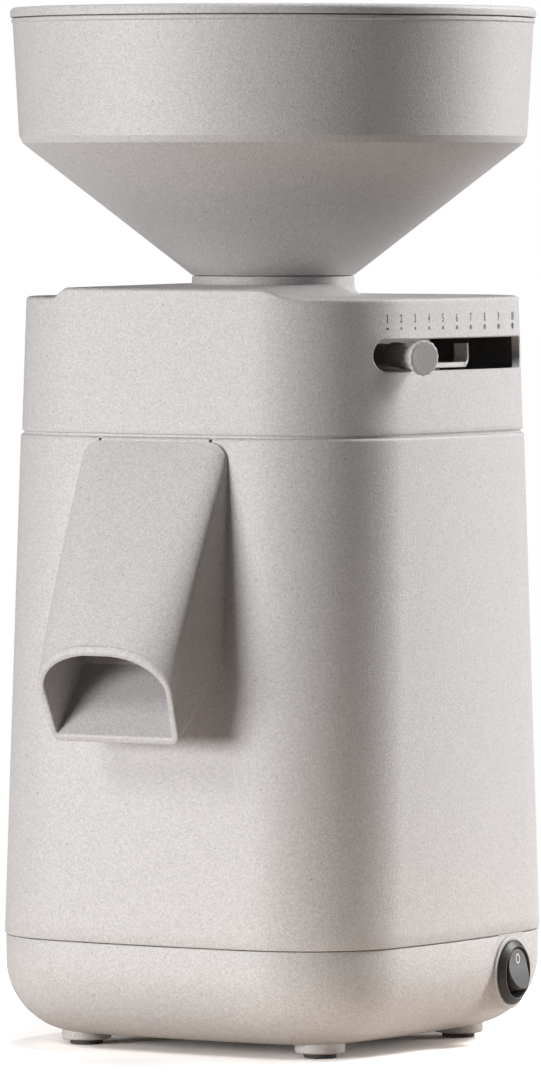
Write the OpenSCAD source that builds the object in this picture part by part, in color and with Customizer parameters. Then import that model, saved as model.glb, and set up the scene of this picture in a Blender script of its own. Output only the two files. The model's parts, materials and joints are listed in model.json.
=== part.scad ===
// Electric grain mill with a round hopper, stone grinding set, front spout and fineness lever.
// Millimetres, +Z up, the floor at z = 0, the front with the spout towards -Y.
// The hopper, stones and motor share one upright axis; the origin is below the middle of the whole outline.

/* [Housing plan] */
// Half width of the main housing at its upper seam
top_half_w = 77; // [70:0.5:84]
// Half depth of the main housing at its upper seam
top_half_d = 75.6; // [70:0.5:84]
// Half width of the main housing at its lower seam
low_half_w = 80.6; // [74:0.1:88]
// Half depth of the main housing at its lower seam
low_half_d = 81.6; // [76:0.1:88]
// Radius of the upright corners in plan
corner_r = 42; // [36:1:50]
// Bow radius of the four upright faces
face_bow_r = 430; // [300:10:900]
// Wall thickness of the housing shells
wall = 3; // [2.4:0.1:3.6]

/* [Housing heights] */
// Height of the base tray's underside above the floor
floor_gap = 4.7; // [4:0.1:7]
// Height of the base tray
tray_h = 33.8; // [30:0.1:38]
// Rounding radius of the base tray's lower edge
tray_edge_r = 25; // [22:0.1:29]
// Height of the main housing
body_h = 174; // [160:1:190]
// Height of the shadow groove between main and top housing
groove_h = 0.9; // [0.5:0.1:1.5]
// Height of the top housing from its lower edge to the deck
cap_h = 46.6; // [44:0.1:52]
// Height of the hopper collar above the deck
collar_h = 7; // [6:0.1:9]
// Outer radius of the hopper collar
collar_r = 28.3; // [27:0.1:30]
// Height of the raised tongue at the front edge of the deck
tongue_h = 3.2; // [1:0.1:4]
// Half width of the raised tongue at the front edge
tongue_half_w = 40; // [30:1:46]

/* [Hopper] */
// Outer radius of the hopper just below its rim
hopper_rim_r = 90.6; // [84:0.1:94]
// How much narrower the hopper is at the lower end of its upright wall
hopper_flare = 2.2; // [0:0.1:5]
// Height of the upright wall of the hopper
hopper_wall_h = 40.7; // [30:0.1:60]
// Height of the hopper's cone
hopper_cone_h = 48.3; // [40:0.1:60]
// Wall thickness of the hopper
hopper_wall = 2.4; // [2:0.1:3]
// Radius of the grain throat
throat_r = 15.2; // [13:0.1:15.8]
// How far the lid stands out past the hopper's wall
lid_overhang = 0.9; // [0.6:0.1:3]
// Thickness of the lid
lid_t = 3.4; // [2.6:0.1:5]

/* [Spout] */
// Half width of the spout where it leaves the housing
spout_root_half_w = 29.4; // [27:0.1:32]
// Half width of the spout's mouth
spout_mouth_half_w = 27.2; // [24:0.1:29]
// Height of the spout's root above the floor
spout_low_z = 132; // [126:1:140]
// Reach of the upper lip of the mouth in front of the axis
spout_reach = 112; // [106:1:120]
// Height of the upper lip of the mouth
lip_top_z = 141; // [136:1:146]
// Height of the lower lip of the mouth
lip_low_z = 108.8; // [104:0.2:114]
// How far the lower lip stands back from the upper one
lip_lean = 12.4; // [8:0.2:16]
// Wall thickness of the spout
spout_wall = 2.6; // [2:0.1:3]

/* [Fineness lever] */
// Height of the slot's lower edge above the upper seam
slot_rise = 22.45; // [21:0.05:24]
// Height of the lever slot
slot_h = 10.95; // [10.8:0.05:12]
// Angle of the front end of the slot, from +X towards the rear
slot_from = -34.5; // [-38:0.5:-33]
// Angle of the rear end of the slot
slot_to = 38.5; // [37:0.5:42]
// Angle at which the lever stands at rest
lever_angle = -22; // [-26:0.5:-16]
// Distance of the knob's end face from the axis
knob_reach = 88.8; // [86:0.1:91]
// Radius of the knob at its outer end
knob_end_r = 6.15; // [5.5:0.05:7]
// Radius of the knob where it passes the slot
knob_neck_r = 4.4; // [4:0.05:4.5]

/* [Grinding set] */
// Radius of the millstones
stone_r = 45; // [42:0.5:45.5]
// Thickness of each millstone
stone_t = 16; // [14:0.5:16]
// Radius of the eye in the upper stone
eye_r = 18; // [16:0.5:20]
// Grinding gap at rest
grind_gap = 0.5; // [0.45:0.05:1]
// Depth of the flour chamber's floor below the upper seam
chamber_drop = 38; // [37:0.5:44]
// Inner radius of the flour chamber
chamber_r = 55; // [54:0.5:56]

/* [Motor] */
// Outer radius of the stator core
stator_r = 50; // [48:0.5:51]
// Height of the stator core
stator_h = 56; // [44:1:60]
// Radius of the rotor core
rotor_r = 25.6; // [22:0.1:25.8]
// Radius of the shaft above the rotor
shaft_r = 6; // [5.5:0.1:6.5]
// Radius of the cooling fan
fan_r = 38; // [30:0.5:40]

/* [Feet and switch] */
// Half distance between the feet across the width
foot_half_x = 48; // [46:0.5:50]
// Half distance between the feet across the depth
foot_half_y = 45.5; // [44:0.5:48]
// Radius of a rubber foot at the floor
foot_r = 5.6; // [5:0.1:6.5]
// Height of the switch centre above the floor
switch_z = 25.3; // [25:0.1:27]
// Distance of the switch centre behind the axis
switch_y = 29; // [24:0.5:32]
// Outer radius of the switch bezel
bezel_r = 11.2; // [10.5:0.1:11.5]

/* [Hidden] */

$fn = 96;

// Colours
plastic = [0.80, 0.78, 0.75];
lever_plastic = [0.86, 0.85, 0.83];
black = [0.10, 0.10, 0.10];
rubber = [0.16, 0.16, 0.17];
steel = [0.72, 0.73, 0.75];
aluminium = [0.80, 0.81, 0.82];
iron = [0.35, 0.36, 0.38];
copper = [0.72, 0.42, 0.22];
stone = [0.86, 0.84, 0.80];
felt = [0.62, 0.60, 0.56];

// Clearances
seat_gap = 0.3;      // between a piece and a different body that carries it
run_gap = 0.05;      // radial running fit
hole_gap = 0.05;     // radial, round a screw

// Heights
tray_top = floor_gap + tray_h;
body_top = tray_top + body_h;
cap_low = body_top + groove_h;
deck_z = cap_low + cap_h;
collar_top = deck_z + collar_h;
hopper_seat = collar_top + 0.2;
cone_top = hopper_seat + hopper_cone_h;
rim_z = cone_top + hopper_wall_h;
lid_z = rim_z + 0.4;
deck_t = wall;
deck_low = deck_z - deck_t;
tray_floor = floor_gap + wall;
chamber_z = body_top - chamber_drop;
chamber_floor = chamber_z + wall;
flange_top = body_top - 1.5;
carrier_z = chamber_floor + 7.5;
lower_stone_z = carrier_z + 6;
upper_stone_z = lower_stone_z + stone_t + grind_gap;
holder_z = upper_stone_z + stone_t;
shield_h = 27.5;
stator_top = chamber_z - shield_h;
stator_low = stator_top - stator_h;
lower_shield_z = stator_low - shield_h;
grommet_h = 6;
post_top = lower_shield_z - grommet_h;

// Radii that follow the hopper's rim
hopper_low_r = hopper_rim_r - hopper_flare;
lid_r = hopper_rim_r + lid_overhang;

// The outline's middle lies in front of the axis, because the spout reaches further than the hopper
axis_y = (spout_reach - lid_r) / 2;

// Plan shapes: a rounded square whose faces are shallow arcs
function corner_mid(a, b, r, bow) =
    let (dx = a - bow, dy = b - bow, half = norm([dx, dy]) / 2, rise = sqrt(pow(bow - r, 2) - half * half))
    [dx / 2 - dy / (2 * half) * rise, dy / 2 - dx / (2 * half) * rise];
function arc_points(c, r, from, to, n) =
    [for (i = [0 : n - 1]) let (t = from + (to - from) * i / n) [c[0] + r * cos(t), c[1] + r * sin(t)]];
function quarter_plan(a, b, r, bow, nf, nc) =
    let (
        c = corner_mid(a, b, r, bow),
        side = atan2(c[1], c[0] - (a - bow)),
        back = atan2(c[1] - (b - bow), c[0])
    )
    concat(
        arc_points([a - bow, 0], bow, 0, side, nf),
        arc_points(c, r, side, back, nc),
        arc_points([0, b - bow], bow, back, 90, nf)
    );
function reversed(p) = [for (i = [len(p) - 1 : -1 : 0]) p[i]];
function plan(a, b, r, bow, nf = 3, nc = 12) =
    let (
        q = quarter_plan(a, b, r, bow, nf, nc),
        q2 = [for (i = [0 : len(q) - 1]) i == 0 ? [0, b] : [-q[len(q) - i][0], q[len(q) - i][1]]],
        half = concat(q, q2)
    )
    concat(half, [for (p = half) [-p[0], -p[1]]]);
function at_z(p, z) = [for (v = p) [v[0], v[1], z]];

// Outline of the housing at a height, drawn in by inset
function taper(z) = (z - tray_top) / (body_top - tray_top);
function housing_plan(z, inset, nf = 3, nc = 12) =
    let (t = taper(z))
    at_z(plan(
        low_half_w + (top_half_w - low_half_w) * t - inset,
        low_half_d + (top_half_d - low_half_d) * t - inset,
        corner_r - inset, face_bow_r - inset, nf, nc
    ), z);
function tray_plan(z, inset) =
    at_z(plan(low_half_w - inset, low_half_d - inset, corner_r - inset, face_bow_r - inset), z);
function front_y(z) = -(low_half_d + (top_half_d - low_half_d) * taper(z));
// Distance of the housing's upright corner from the axis
function corner_reach(z) =
    let (t = taper(z), c = corner_mid(low_half_w + (top_half_w - low_half_w) * t,
        low_half_d + (top_half_d - low_half_d) * t, corner_r, face_bow_r))
    norm(c) + corner_r;

// Solid between rings of equal length; closed joins the last ring to the first
module skin(rings, closed = false) {
    n = len(rings[0]);
    m = len(rings);
    spans = closed ? m : m - 1;
    sides = [for (j = [0 : spans - 1], i = [0 : n - 1]) let (
        a = j * n + i, b = j * n + (i + 1) % n,
        c = ((j + 1) % m) * n + (i + 1) % n, d = ((j + 1) % m) * n + i
    ) each [[a, b, c], [a, c, d]]];
    caps = closed ? [] : [[for (i = [n - 1 : -1 : 0]) i], [for (i = [0 : n - 1]) (m - 1) * n + i]];
    polyhedron(points = [for (r = rings) each r], faces = [for (f = concat(sides, caps)) reversed(f)]);
}

// Everything is drawn about the upright axis and then moved so that the outline is centred
module piece(c) {
    color(c) translate([0, axis_y, 0]) children();
}

module tube(outer, inner, h) {
    difference() {
        cylinder(r = outer, h = h);
        translate([0, 0, -1]) cylinder(r = inner, h = h + 2);
    }
}

// Pan head screw pointing up, its head below z = 0
module screw(shank_r, length, head_r, head_h) {
    translate([0, 0, -head_h]) cylinder(r = head_r, h = head_h);
    cylinder(r = shank_r, h = length);
}

module at_feet() {
    for (sx = [-1, 1], sy = [-1, 1]) translate([sx * foot_half_x, sy * foot_half_y, 0]) children();
}

module four_round(r, from = 0) {
    for (i = [0 : 3]) rotate(from + 90 * i) translate([r, 0, 0]) children();
}

// Frame of the switch: +Z outwards, +Y upwards, the origin on the face of its pad
switch_turn = asin(switch_y / face_bow_r);
switch_face_x = low_half_w - face_bow_r * (1 - cos(switch_turn)) + 0.3;
module at_switch() {
    translate([switch_face_x, switch_y, switch_z]) rotate([0, 0, switch_turn]) rotate([90, 0, 90]) children();
}

// Frame of the mains inlet: +Z outwards at the rear
inlet_x = -25;
inlet_z = 23;
inlet_face_y = low_half_d + 0.3;
inlet_r = 6;
module at_inlet() {
    translate([inlet_x, inlet_face_y, inlet_z]) rotate([-90, 0, 0]) children();
}

// ---- Base ----

cover_r = 38;
cover_t = 2;
boss_r = 8.65;
boss_drop = 3;
pillar_r = 5;
pillar_low = tray_floor + 6;
screw_r = 2;
screw_head_r = 3.6;
screw_head_h = 2.6;
mount_r = 60;
post_r = 4.5;
switch_hole_r = 9.9;
inlet_hole_r = inlet_r + 0.1;
block_seat_z = tray_floor + 2.3;
block_at = [-28, -54];
block_size = [24, 11, 10];
tray_steps = 6;

module base_tray() {
    inner_r = tray_edge_r - wall;
    step = 90 / tray_steps;
    outer_rings = [for (i = [0 : tray_steps]) let (t = i * step)
        tray_plan(floor_gap + tray_edge_r * (1 - cos(t)), 0.5 + tray_edge_r * (1 - sin(t)))];
    rim_rings = [
        tray_plan(tray_top - 0.2, 0.5), tray_plan(tray_top, 0.7),
        tray_plan(tray_top, wall - 0.2), tray_plan(tray_top - 0.4, wall + 0.5)
    ];
    inner_rings = [for (i = [tray_steps : -1 : 0]) let (t = i * step)
        tray_plan(tray_floor + inner_r * (1 - cos(t)), wall + 0.5 + inner_r * (1 - sin(t)))];
    piece(plastic) difference() {
        union() {
            skin(concat(outer_rings, rim_rings, inner_rings));
            at_feet() translate([0, 0, floor_gap - boss_drop]) cylinder(r = boss_r, h = boss_drop + 1.5);
            at_feet() translate([0, 0, tray_floor - 0.5]) cylinder(r = pillar_r, h = pillar_low - tray_floor + 0.5);
            four_round(mount_r) translate([0, 0, tray_floor + 0.05])
                cylinder(r = post_r, h = post_top - tray_floor - 0.05);
            at_switch() translate([0, 0, -20]) cylinder(r = bezel_r + 1.6, h = 20);
            at_inlet() translate([0, 0, -18]) cylinder(r = inlet_r + 4, h = 18);
            translate([block_at[0] - block_size[0] / 2, block_at[1] - block_size[1] / 2, tray_floor - 0.5])
                cube([block_size[0], block_size[1], block_seat_z - tray_floor + 0.5]);
        }
        translate([0, 0, floor_gap - 1]) cylinder(r = cover_r + 0.2, h = 1 + cover_t + 0.1);
        cylinder(r = cover_r - 5, h = tray_floor + 2);
        at_switch() translate([0, 0, -30]) cylinder(r = switch_hole_r, h = 40);
        at_switch() translate([0, 0, -34]) cylinder(r = bezel_r - 0.6, h = 34 - wall);
        at_inlet() translate([0, 0, -30]) cylinder(r = inlet_hole_r, h = 40);
        at_inlet() translate([0, 0, -30]) cylinder(r = inlet_r + 2.2, h = 30 - wall);
        at_feet() translate([0, 0, -1]) cylinder(r = screw_r + 0.2, h = pillar_low + 2);
        at_feet() translate([0, 0, -1]) cylinder(r = foot_r - 0.3, h = floor_gap + 1);
        at_feet() translate([0, 0, floor_gap - 0.5]) cylinder(r = screw_head_r + 0.2, h = screw_head_h + 0.5);
        four_round(mount_r) translate([0, 0, post_top - 14]) cylinder(r = screw_r + hole_gap, h = 15);
        cover_screw_places() translate([0, 0, floor_gap]) cylinder(r = 1.3, h = 8);
    }
}

module cover_screw_places() {
    four_round(cover_r - 2.5, 45) children();
}

module bottom_cover() {
    piece(plastic) difference() {
        translate([0, 0, floor_gap]) cylinder(r = cover_r, h = cover_t);
        for (k = [-4 : 4]) let (half = sqrt(pow(cover_r - 9, 2) - pow(k * 6, 2)))
            translate([k * 6 - 1.4, -half, 0]) cube([2.8, 2 * half, tray_floor]);
        cover_screw_places() translate([0, 0, 0]) cylinder(r = 1.6, h = tray_floor);
    }
}

module cover_screws() {
    piece(steel) cover_screw_places() translate([0, 0, floor_gap]) screw(1.25, 2.8, 2.3, 1.2);
}

module foot(sx, sy) {
    piece(rubber) translate([sx * foot_half_x, sy * foot_half_y, 0]) {
        cylinder(r1 = foot_r, r2 = foot_r + 0.2, h = floor_gap - boss_drop);
        translate([0, 0, floor_gap - boss_drop]) cylinder(r = foot_r - 0.35, h = boss_drop - 0.3);
    }
}

module foot_front_left() { foot(-1, -1); }
module foot_front_right() { foot(1, -1); }
module foot_rear_left() { foot(-1, 1); }
module foot_rear_right() { foot(1, 1); }

housing_screw_l = 34;
module housing_screws() {
    piece(steel) at_feet() translate([0, 0, floor_gap + screw_head_h])
        screw(screw_r, housing_screw_l, screw_head_r, screw_head_h);
}

// ---- Main housing and spout ----

pillar_h = 46;
edge_r = 1.2;
module main_housing() {
    rings = [
        housing_plan(tray_top + 0.3, 0.4), housing_plan(tray_top + 0.8, 0),
        housing_plan(tray_top + body_h * 0.35, 0), housing_plan(tray_top + body_h * 0.7, 0),
        housing_plan(body_top - edge_r, 0), housing_plan(body_top - edge_r * 0.4, edge_r * 0.25),
        housing_plan(body_top, edge_r), housing_plan(cap_low, edge_r), housing_plan(cap_low, wall),
        housing_plan(tray_top + 0.3, wall)
    ];
    foot_dist = norm([foot_half_x, foot_half_y]);
    foot_turn = atan2(foot_half_y, foot_half_x);
    piece(plastic) difference() {
        union() {
            skin(rings, closed = true);
            at_feet() translate([0, 0, pillar_low]) cylinder(r = pillar_r, h = pillar_h);
            for (sx = [-1, 1], sy = [-1, 1]) mirror([sx < 0 ? 1 : 0, 0, 0]) mirror([0, sy < 0 ? 1 : 0, 0])
                rotate(foot_turn) translate([0, 1.2, 0]) rotate([90, 0, 0]) linear_extrude(2.4)
                    polygon([
                        [foot_dist, tray_top + 2], [corner_reach(tray_top) - 2, tray_top + 2],
                        [corner_reach(pillar_low + pillar_h) - 1.8, pillar_low + pillar_h],
                        [foot_dist, pillar_low + pillar_h]
                    ]);
        }
        at_feet() translate([0, 0, pillar_low - 1]) cylinder(r = screw_r + hole_gap, h = housing_screw_l - 3);
        spout_cut();
        for (sx = [-1, 1]) translate([sx * 22.5 - 0.6, front_y(body_top) - 2, body_top - 2]) cube([1.2, 4, 3]);
    }
}

// Spout section: x across, h up from the floor line; w0 and w1 are the half widths low and high
function spout_section(w0, w1, h, low_r, rx, ry, inset) = concat(
    [for (i = [0 : 4]) let (t = 270 + 90 * i / 4)
        [w0 - low_r + (low_r - inset) * cos(t), low_r + (low_r - inset) * sin(t)]],
    [for (i = [0 : 9]) let (t = 90 * i / 9)
        [w1 - rx + (rx - inset) * cos(t), h - ry + (ry - inset) * sin(t)]]
);
function both_sides(p) = concat(p, [for (v = reversed(p)) [-v[0], v[1]]]);
function mix(a, b, t) = a + (b - a) * t;

spout_top_z = body_top - 1.5;
spout_back_y = -66;
spout_steps = 4;
mouth_corner = [24, 16];
root_corner = 7;
mouth_low_half_w = spout_mouth_half_w - 1.2;
root_low = [front_y(spout_low_z), spout_low_z];
root_high = [front_y(spout_top_z), spout_top_z];
mouth_high = [-spout_reach, lip_top_z];
mouth_low = [lip_lean - spout_reach, lip_low_z];

function spout_ring(t, inset) =
    let (
        low = mix(root_low, mouth_low, t),
        high = mix(root_high, mouth_high, t),
        h = norm(high - low),
        flat = both_sides(spout_section(
            mix(spout_root_half_w, mouth_low_half_w, t), mix(spout_root_half_w, spout_mouth_half_w, t), h,
            3.4, mix(root_corner, mouth_corner[0], t), mix(root_corner, mouth_corner[1], t), inset))
    )
    [for (p = flat) let (q = mix(low, high, p[1] / h)) [p[0], q[0], q[1]]];
function spout_back(y, inset) = [for (p = spout_ring(0, inset)) [p[0], y, p[2]]];

module spout() {
    outer_rings = concat([spout_back(spout_back_y, 0)], [for (i = [0 : spout_steps]) spout_ring(i / spout_steps, 0)]);
    inner_rings = concat(
        [for (i = [spout_steps : -1 : 0]) spout_ring(i / spout_steps, spout_wall)],
        [spout_back(spout_back_y, spout_wall)]
    );
    piece(plastic) {
        skin(concat(outer_rings, inner_rings), closed = true);
        // ramp that closes the back of the spout below the chamber's outlet
        rotate([90, 0, -90]) translate([0, 0, -spout_root_half_w + spout_wall / 2])
            linear_extrude(2 * spout_root_half_w - spout_wall)
                polygon([
                    [-front_y(spout_low_z), spout_low_z + spout_wall / 2],
                    [-front_y(spout_low_z), spout_low_z + spout_wall + 1],
                    [-spout_back_y + 2.2, chamber_z - 2], [-spout_back_y, chamber_z - 2],
                    [-spout_back_y, spout_low_z + spout_wall / 2]
                ]);
    }
}

// Hole in the front wall through which the spout stands
module spout_cut() {
    skin([spout_back(-40, -0.15), [for (p = spout_ring(0, -0.15)) [p[0], -spout_reach, p[2]]]]);
}

// ---- Top housing ----

ring_drum_r = 51.2;
ring_top = deck_low - 10.6;
guide_low = deck_low - 16.5;
collar_bore = 24.6;
key_low = holder_z + 9.5;
key_w = 5;
top_boss = 46;
top_boss_h = 20.5;
slot_z = body_top + slot_rise;
slot_mid = slot_z + slot_h / 2;

function smooth(t) = let (u = max(0, min(1, t))) u * u * (3 - 2 * u);
function tongue(x, y) =
    let (
        along = max(0, min(1, -y / top_half_d)),
        half = mix(collar_r, tongue_half_w, along),
        flank = x > 0 ? mix(8, 14, along) : mix(5, 7, along),
        h = mix(tongue_h + 1.2, tongue_h, along)
    )
    h * smooth((half + flank - abs(x)) / flank) * smooth((8 - y) / 16);

function deck_ring(z, inset, share) =
    let (edge = housing_plan(body_top, 0.4 + inset, 5, 14))
    [for (p = edge) let (
        d = norm([p[0], p[1]]), r = mix(d, toe_r, share),
        x = p[0] * r / d, y = p[1] * r / d
    ) [x, y, z + tongue(x, y)]];
function collar_ring(r, z, tongue_share) =
    let (edge = housing_plan(body_top, 0.4, 5, 14))
    [for (p = edge) let (d = norm([p[0], p[1]]), x = p[0] * r / d, y = p[1] * r / d)
        [x, y, z + tongue(x, y) * tongue_share]];
collar_fillet = 4;
toe_r = collar_r + collar_fillet;
cap_in = 1;      // how much the top housing leans in from its lower edge to the deck

module top_housing_shell() {
    outer = [
        housing_plan(cap_low, 0.4 + wall, 5, 14),
        housing_plan(cap_low, 0.4 + 0.8, 5, 14),
        housing_plan(cap_low + 0.8, 0.4, 5, 14),
        [for (p = deck_ring(deck_z - edge_r, 0, 0)) p],
        deck_ring(deck_z - edge_r * 0.3, cap_in * 0.9, 0),
        deck_ring(deck_z, cap_in + edge_r, 0),
        deck_ring(deck_z, cap_in + edge_r, 0.2),
        deck_ring(deck_z, cap_in + edge_r, 0.45),
        deck_ring(deck_z, cap_in + edge_r, 0.7),
        deck_ring(deck_z, cap_in + edge_r, 0.88),
        collar_ring(toe_r, deck_z, 1),
        collar_ring(toe_r - collar_fillet * sin(30), deck_z + collar_fillet * (1 - cos(30)), 0.8),
        collar_ring(toe_r - collar_fillet * sin(60), deck_z + collar_fillet * (1 - cos(60)), 0.3),
        collar_ring(collar_r, deck_z + collar_fillet, 0),
        collar_ring(collar_r, collar_top - 0.4, 0),
        collar_ring(collar_r - 0.4, collar_top, 0),
        collar_ring(collar_bore + 1, collar_top, 0),
        collar_ring(collar_bore + 1, deck_low, 0),
        [for (p = housing_plan(deck_low, 0.4 + wall, 5, 14)) p]
    ];
    skin(outer, closed = true);
}

// Cutter for the lever slot: a band with round ends
slot_cut_in = top_half_w - 17;
slot_cut_out = top_half_w + 35;
module slot_cut() {
    end = slot_h / 2 / (low_half_w - 4) * 57.3;
    turn = slot_to - slot_from - 2 * end;
    translate([0, 0, slot_z]) rotate(slot_from + end) linear_extrude(slot_h) polygon(concat(
        [for (i = [0 : 6]) slot_cut_in * [cos(turn * i / 6), sin(turn * i / 6)]],
        [for (i = [6 : -1 : 0]) slot_cut_out * [cos(turn * i / 6), sin(turn * i / 6)]]
    ));
    for (a = [slot_from + end, slot_to - end])
        rotate(a) translate([slot_cut_in, 0, slot_mid]) rotate([0, 90, 0])
            cylinder(r = slot_h / 2 - 0.03, h = slot_cut_out - slot_cut_in - 1);
}

module top_housing() {
    piece(plastic) difference() {
        union() {
            top_housing_shell();
            // collar tube that guides the hopper above and keys the stone holder below
            translate([0, 0, key_low]) cylinder(r = 28, h = deck_low + 1 - key_low);
            // bearing ring of the adjusting ring
            translate([0, 0, guide_low]) tube(ring_drum_r + 3.3, ring_drum_r + run_gap, deck_low + 0.5 - guide_low);
            translate([0, 0, ring_top + seat_gap])
                tube(ring_drum_r + 1, ring_drum_r - 5, deck_low + 0.5 - ring_top - seat_gap);
            for (a = [45 : 90 : 315]) rotate(a) translate([top_boss * sqrt(2), 0, flange_top])
                cylinder(r = 5, h = top_boss_h);
            for (a = [45 : 90 : 315]) rotate(a) translate([0, 1.2, 0]) rotate([90, 0, 0]) linear_extrude(2.4)
                polygon([
                    [top_boss * sqrt(2), cap_low + 1], [corner_reach(body_top) - 2, cap_low + 1],
                    [corner_reach(body_top) - 2.2, flange_top + top_boss_h],
                    [top_boss * sqrt(2), flange_top + top_boss_h]
                ]);
        }
        translate([0, 0, key_low - 1]) cylinder(r = collar_bore, h = collar_top - key_low + 2);
        for (a = [0 : 120 : 240]) rotate(a) translate([collar_bore - 3, -key_w / 2 - seat_gap, key_low - 1])
            cube([10, key_w + 2 * seat_gap, 10.5]);
        for (a = [45 : 90 : 315]) rotate(a) translate([top_boss * sqrt(2), 0, flange_top - 1])
            cylinder(r = screw_r - 0.2 + hole_gap, h = 15);
        slot_cut();
    }
}

module top_screws() {
    piece(steel) for (a = [45 : 90 : 315]) rotate(a) translate([top_boss * sqrt(2), 0, flange_top - 4])
        screw(screw_r - 0.2, 16, 3.6, 2.4);
}

// ---- Mains inlet, switch and terminal block ----

module cord_inlet() {
    piece(black) at_inlet() difference() {
        union() {
            cylinder(r1 = inlet_r + 2.4, r2 = inlet_r + 1.6, h = 2.4);
            translate([0, 0, -12]) cylinder(r = inlet_r, h = 12.5);
            translate([0, 0, -wall - 2.2]) cylinder(r = inlet_r + 1.8, h = 2);
        }
        translate([0, 0, -13]) cylinder(r = 3.6, h = 20);
    }
}

bezel_t = 2.4;
rocker_r = 7.2;
rocker_room = 1.5;       // between the rocker and the round hole it tilts in
rocker_tilt = 12;
rocker_scoop = 8;        // slope of each half of the rocker's face
rocker_depth = 3.2;      // the pivot lies this far behind the pad's face
rocker_pin_r = 1;
module switch_bezel() {
    piece(black) at_switch() difference() {
        union() {
            cylinder(r = bezel_r, h = 0.9);
            translate([0, 0, 0.9]) cylinder(r1 = bezel_r, r2 = bezel_r - 1.6, h = bezel_t - 0.9);
        }
        translate([0, 0, -1]) cylinder(r = rocker_r + rocker_room, h = bezel_t + 2);
    }
}

module switch_body() {
    piece(black) at_switch() difference() {
        translate([0, 0, -22]) cylinder(r = switch_hole_r - 0.15, h = 22);
        translate([0, 0, -11]) cylinder(r = rocker_r + rocker_room, h = 12);
        translate([-15, 0, -rocker_depth]) rotate([0, 90, 0]) cylinder(r = rocker_pin_r + run_gap, h = 30);
    }
}

module switch_terminals() {
    piece(steel) at_switch() for (y = [-5, 0, 5]) translate([-2.4, y - 0.4, -30]) cube([4.8, 0.8, 8]);
}

module switch_rocker() {
    piece(black) at_switch() translate([0, 0, -rocker_depth]) rotate([-rocker_tilt, 0, 0]) difference() {
        translate([0, 0, -4]) cylinder(r = rocker_r, h = 14);
        // two shallow facets that meet across the middle
        for (s = [-1, 1]) translate([-10, 0, rocker_depth + bezel_t + 0.3]) rotate([s * rocker_scoop, 0, 0])
            translate([0, s > 0 ? 0 : -14, 0]) cube([20, 14, 14]);
        translate([-10, 0, 0]) rotate([0, 90, 0]) cylinder(r = rocker_pin_r + 0.02, h = 20);
    }
}

module rocker_pin() {
    piece(steel) at_switch() translate([-9.4, 0, -rocker_depth]) rotate([0, 90, 0])
        cylinder(r = rocker_pin_r, h = 18.8);
}

module terminal_block() {
    piece(black) translate([block_at[0], block_at[1], block_seat_z]) difference() {
        translate([-block_size[0] / 2, -block_size[1] / 2, 0]) cube(block_size);
        for (i = [-1, 0, 1]) translate([i * 7.4, 0, 3]) cylinder(r = 1.2, h = block_size[2]);
        for (i = [-1, 0, 1]) translate([i * 7.4, -10, 3.5]) rotate([-90, 0, 0]) cylinder(r = 1.6, h = 20);
    }
}

// Wires: tubes swept along smoothed routes between named ends
function bezier(a, b, c, d, t) =
    a * pow(1 - t, 3) + b * 3 * t * pow(1 - t, 2) + c * 3 * t * t * (1 - t) + d * pow(t, 3);
function unit(v) = v / norm(v);
module wire(a, b, c, d, r = 1.1, steps = 12, sides = 6) {
    pts = [for (i = [0 : steps]) bezier(a, b, c, d, i / steps)];
    rings = [for (i = [0 : steps]) let (
        dir = unit(pts[min(steps, i + 1)] - pts[max(0, i - 1)]),
        u = unit(cross(dir, [0.13, 0.21, 1])), v = cross(dir, u)
    ) [for (k = [0 : sides - 1]) pts[i] + r * (cos(360 * k / sides) * u + sin(360 * k / sides) * v)]];
    skin(rings);
}

module wiring() {
    in_y = inlet_face_y - 12.4;
    post = [switch_face_x - 31, switch_y - 2];
    block_top = block_seat_z + block_size[2] + 0.3;
    piece(copper) {
        wire([inlet_x, in_y, inlet_z + 1.5], [inlet_x + 10, in_y - 16, inlet_z + 8], [post[0] - 26, post[1] + 24, 34],
            [post[0], post[1] + 2, switch_z + 5]);
        wire([inlet_x - 1, in_y, inlet_z - 1.5], [inlet_x - 22, in_y - 10, inlet_z + 4],
            [block_at[0] - 7.4, block_at[1], block_top + 16], [block_at[0] - 7.4, block_at[1], block_top]);
        wire([post[0], post[1], switch_z - 5], [post[0] - 20, post[1] - 10, 32],
            [block_at[0] + 7.4, block_at[1], block_top + 16], [block_at[0] + 7.4, block_at[1], block_top]);
        wire([block_at[0], block_at[1], block_top], [block_at[0], block_at[1], block_top + 16],
            [-48, -42, 70], [-40, -38, stator_low - 8]);
    }
}

// ---- Motor ----

bolt_circle = 45;
bolt_r = 2;
winding_r = 40;
winding_h = 14;
winding_in_r = 28;
stator_bore = rotor_r + 0.4;
low_bearing = [5, 13, 8];          // bore radius, outer radius, width
high_bearing = [shaft_r, 14, 8];
low_bearing_z = lower_shield_z + 6;
high_bearing_z = chamber_z - 6 - high_bearing[2];
shaft_low = lower_shield_z - 20.5;
shaft_top = lower_stone_z + 8;

module shield_shape(seat_r) {
    difference() {
        union() {
            rotate_extrude() polygon([
                [shaft_r + 2, 0], [stator_r + 1, 0], [stator_r + 1, shield_h], [stator_r - 2, shield_h],
                [stator_r - 2, 5], [seat_r + 4, 5], [seat_r + 4, 15], [seat_r, 15], [seat_r, 6], [shaft_r + 2, 6]
            ]);
            four_round(bolt_circle, 45) translate([0, 0, 4]) cylinder(r = 4.4, h = shield_h - 4.2);
        }
        four_round(bolt_circle, 45) translate([0, 0, -1]) cylinder(r = bolt_r + hole_gap, h = shield_h + 2);
        for (a = [0 : 30 : 330]) rotate(a + 15) translate([30, 0, -1]) cylinder(r = 4, h = 7);
    }
}

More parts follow.
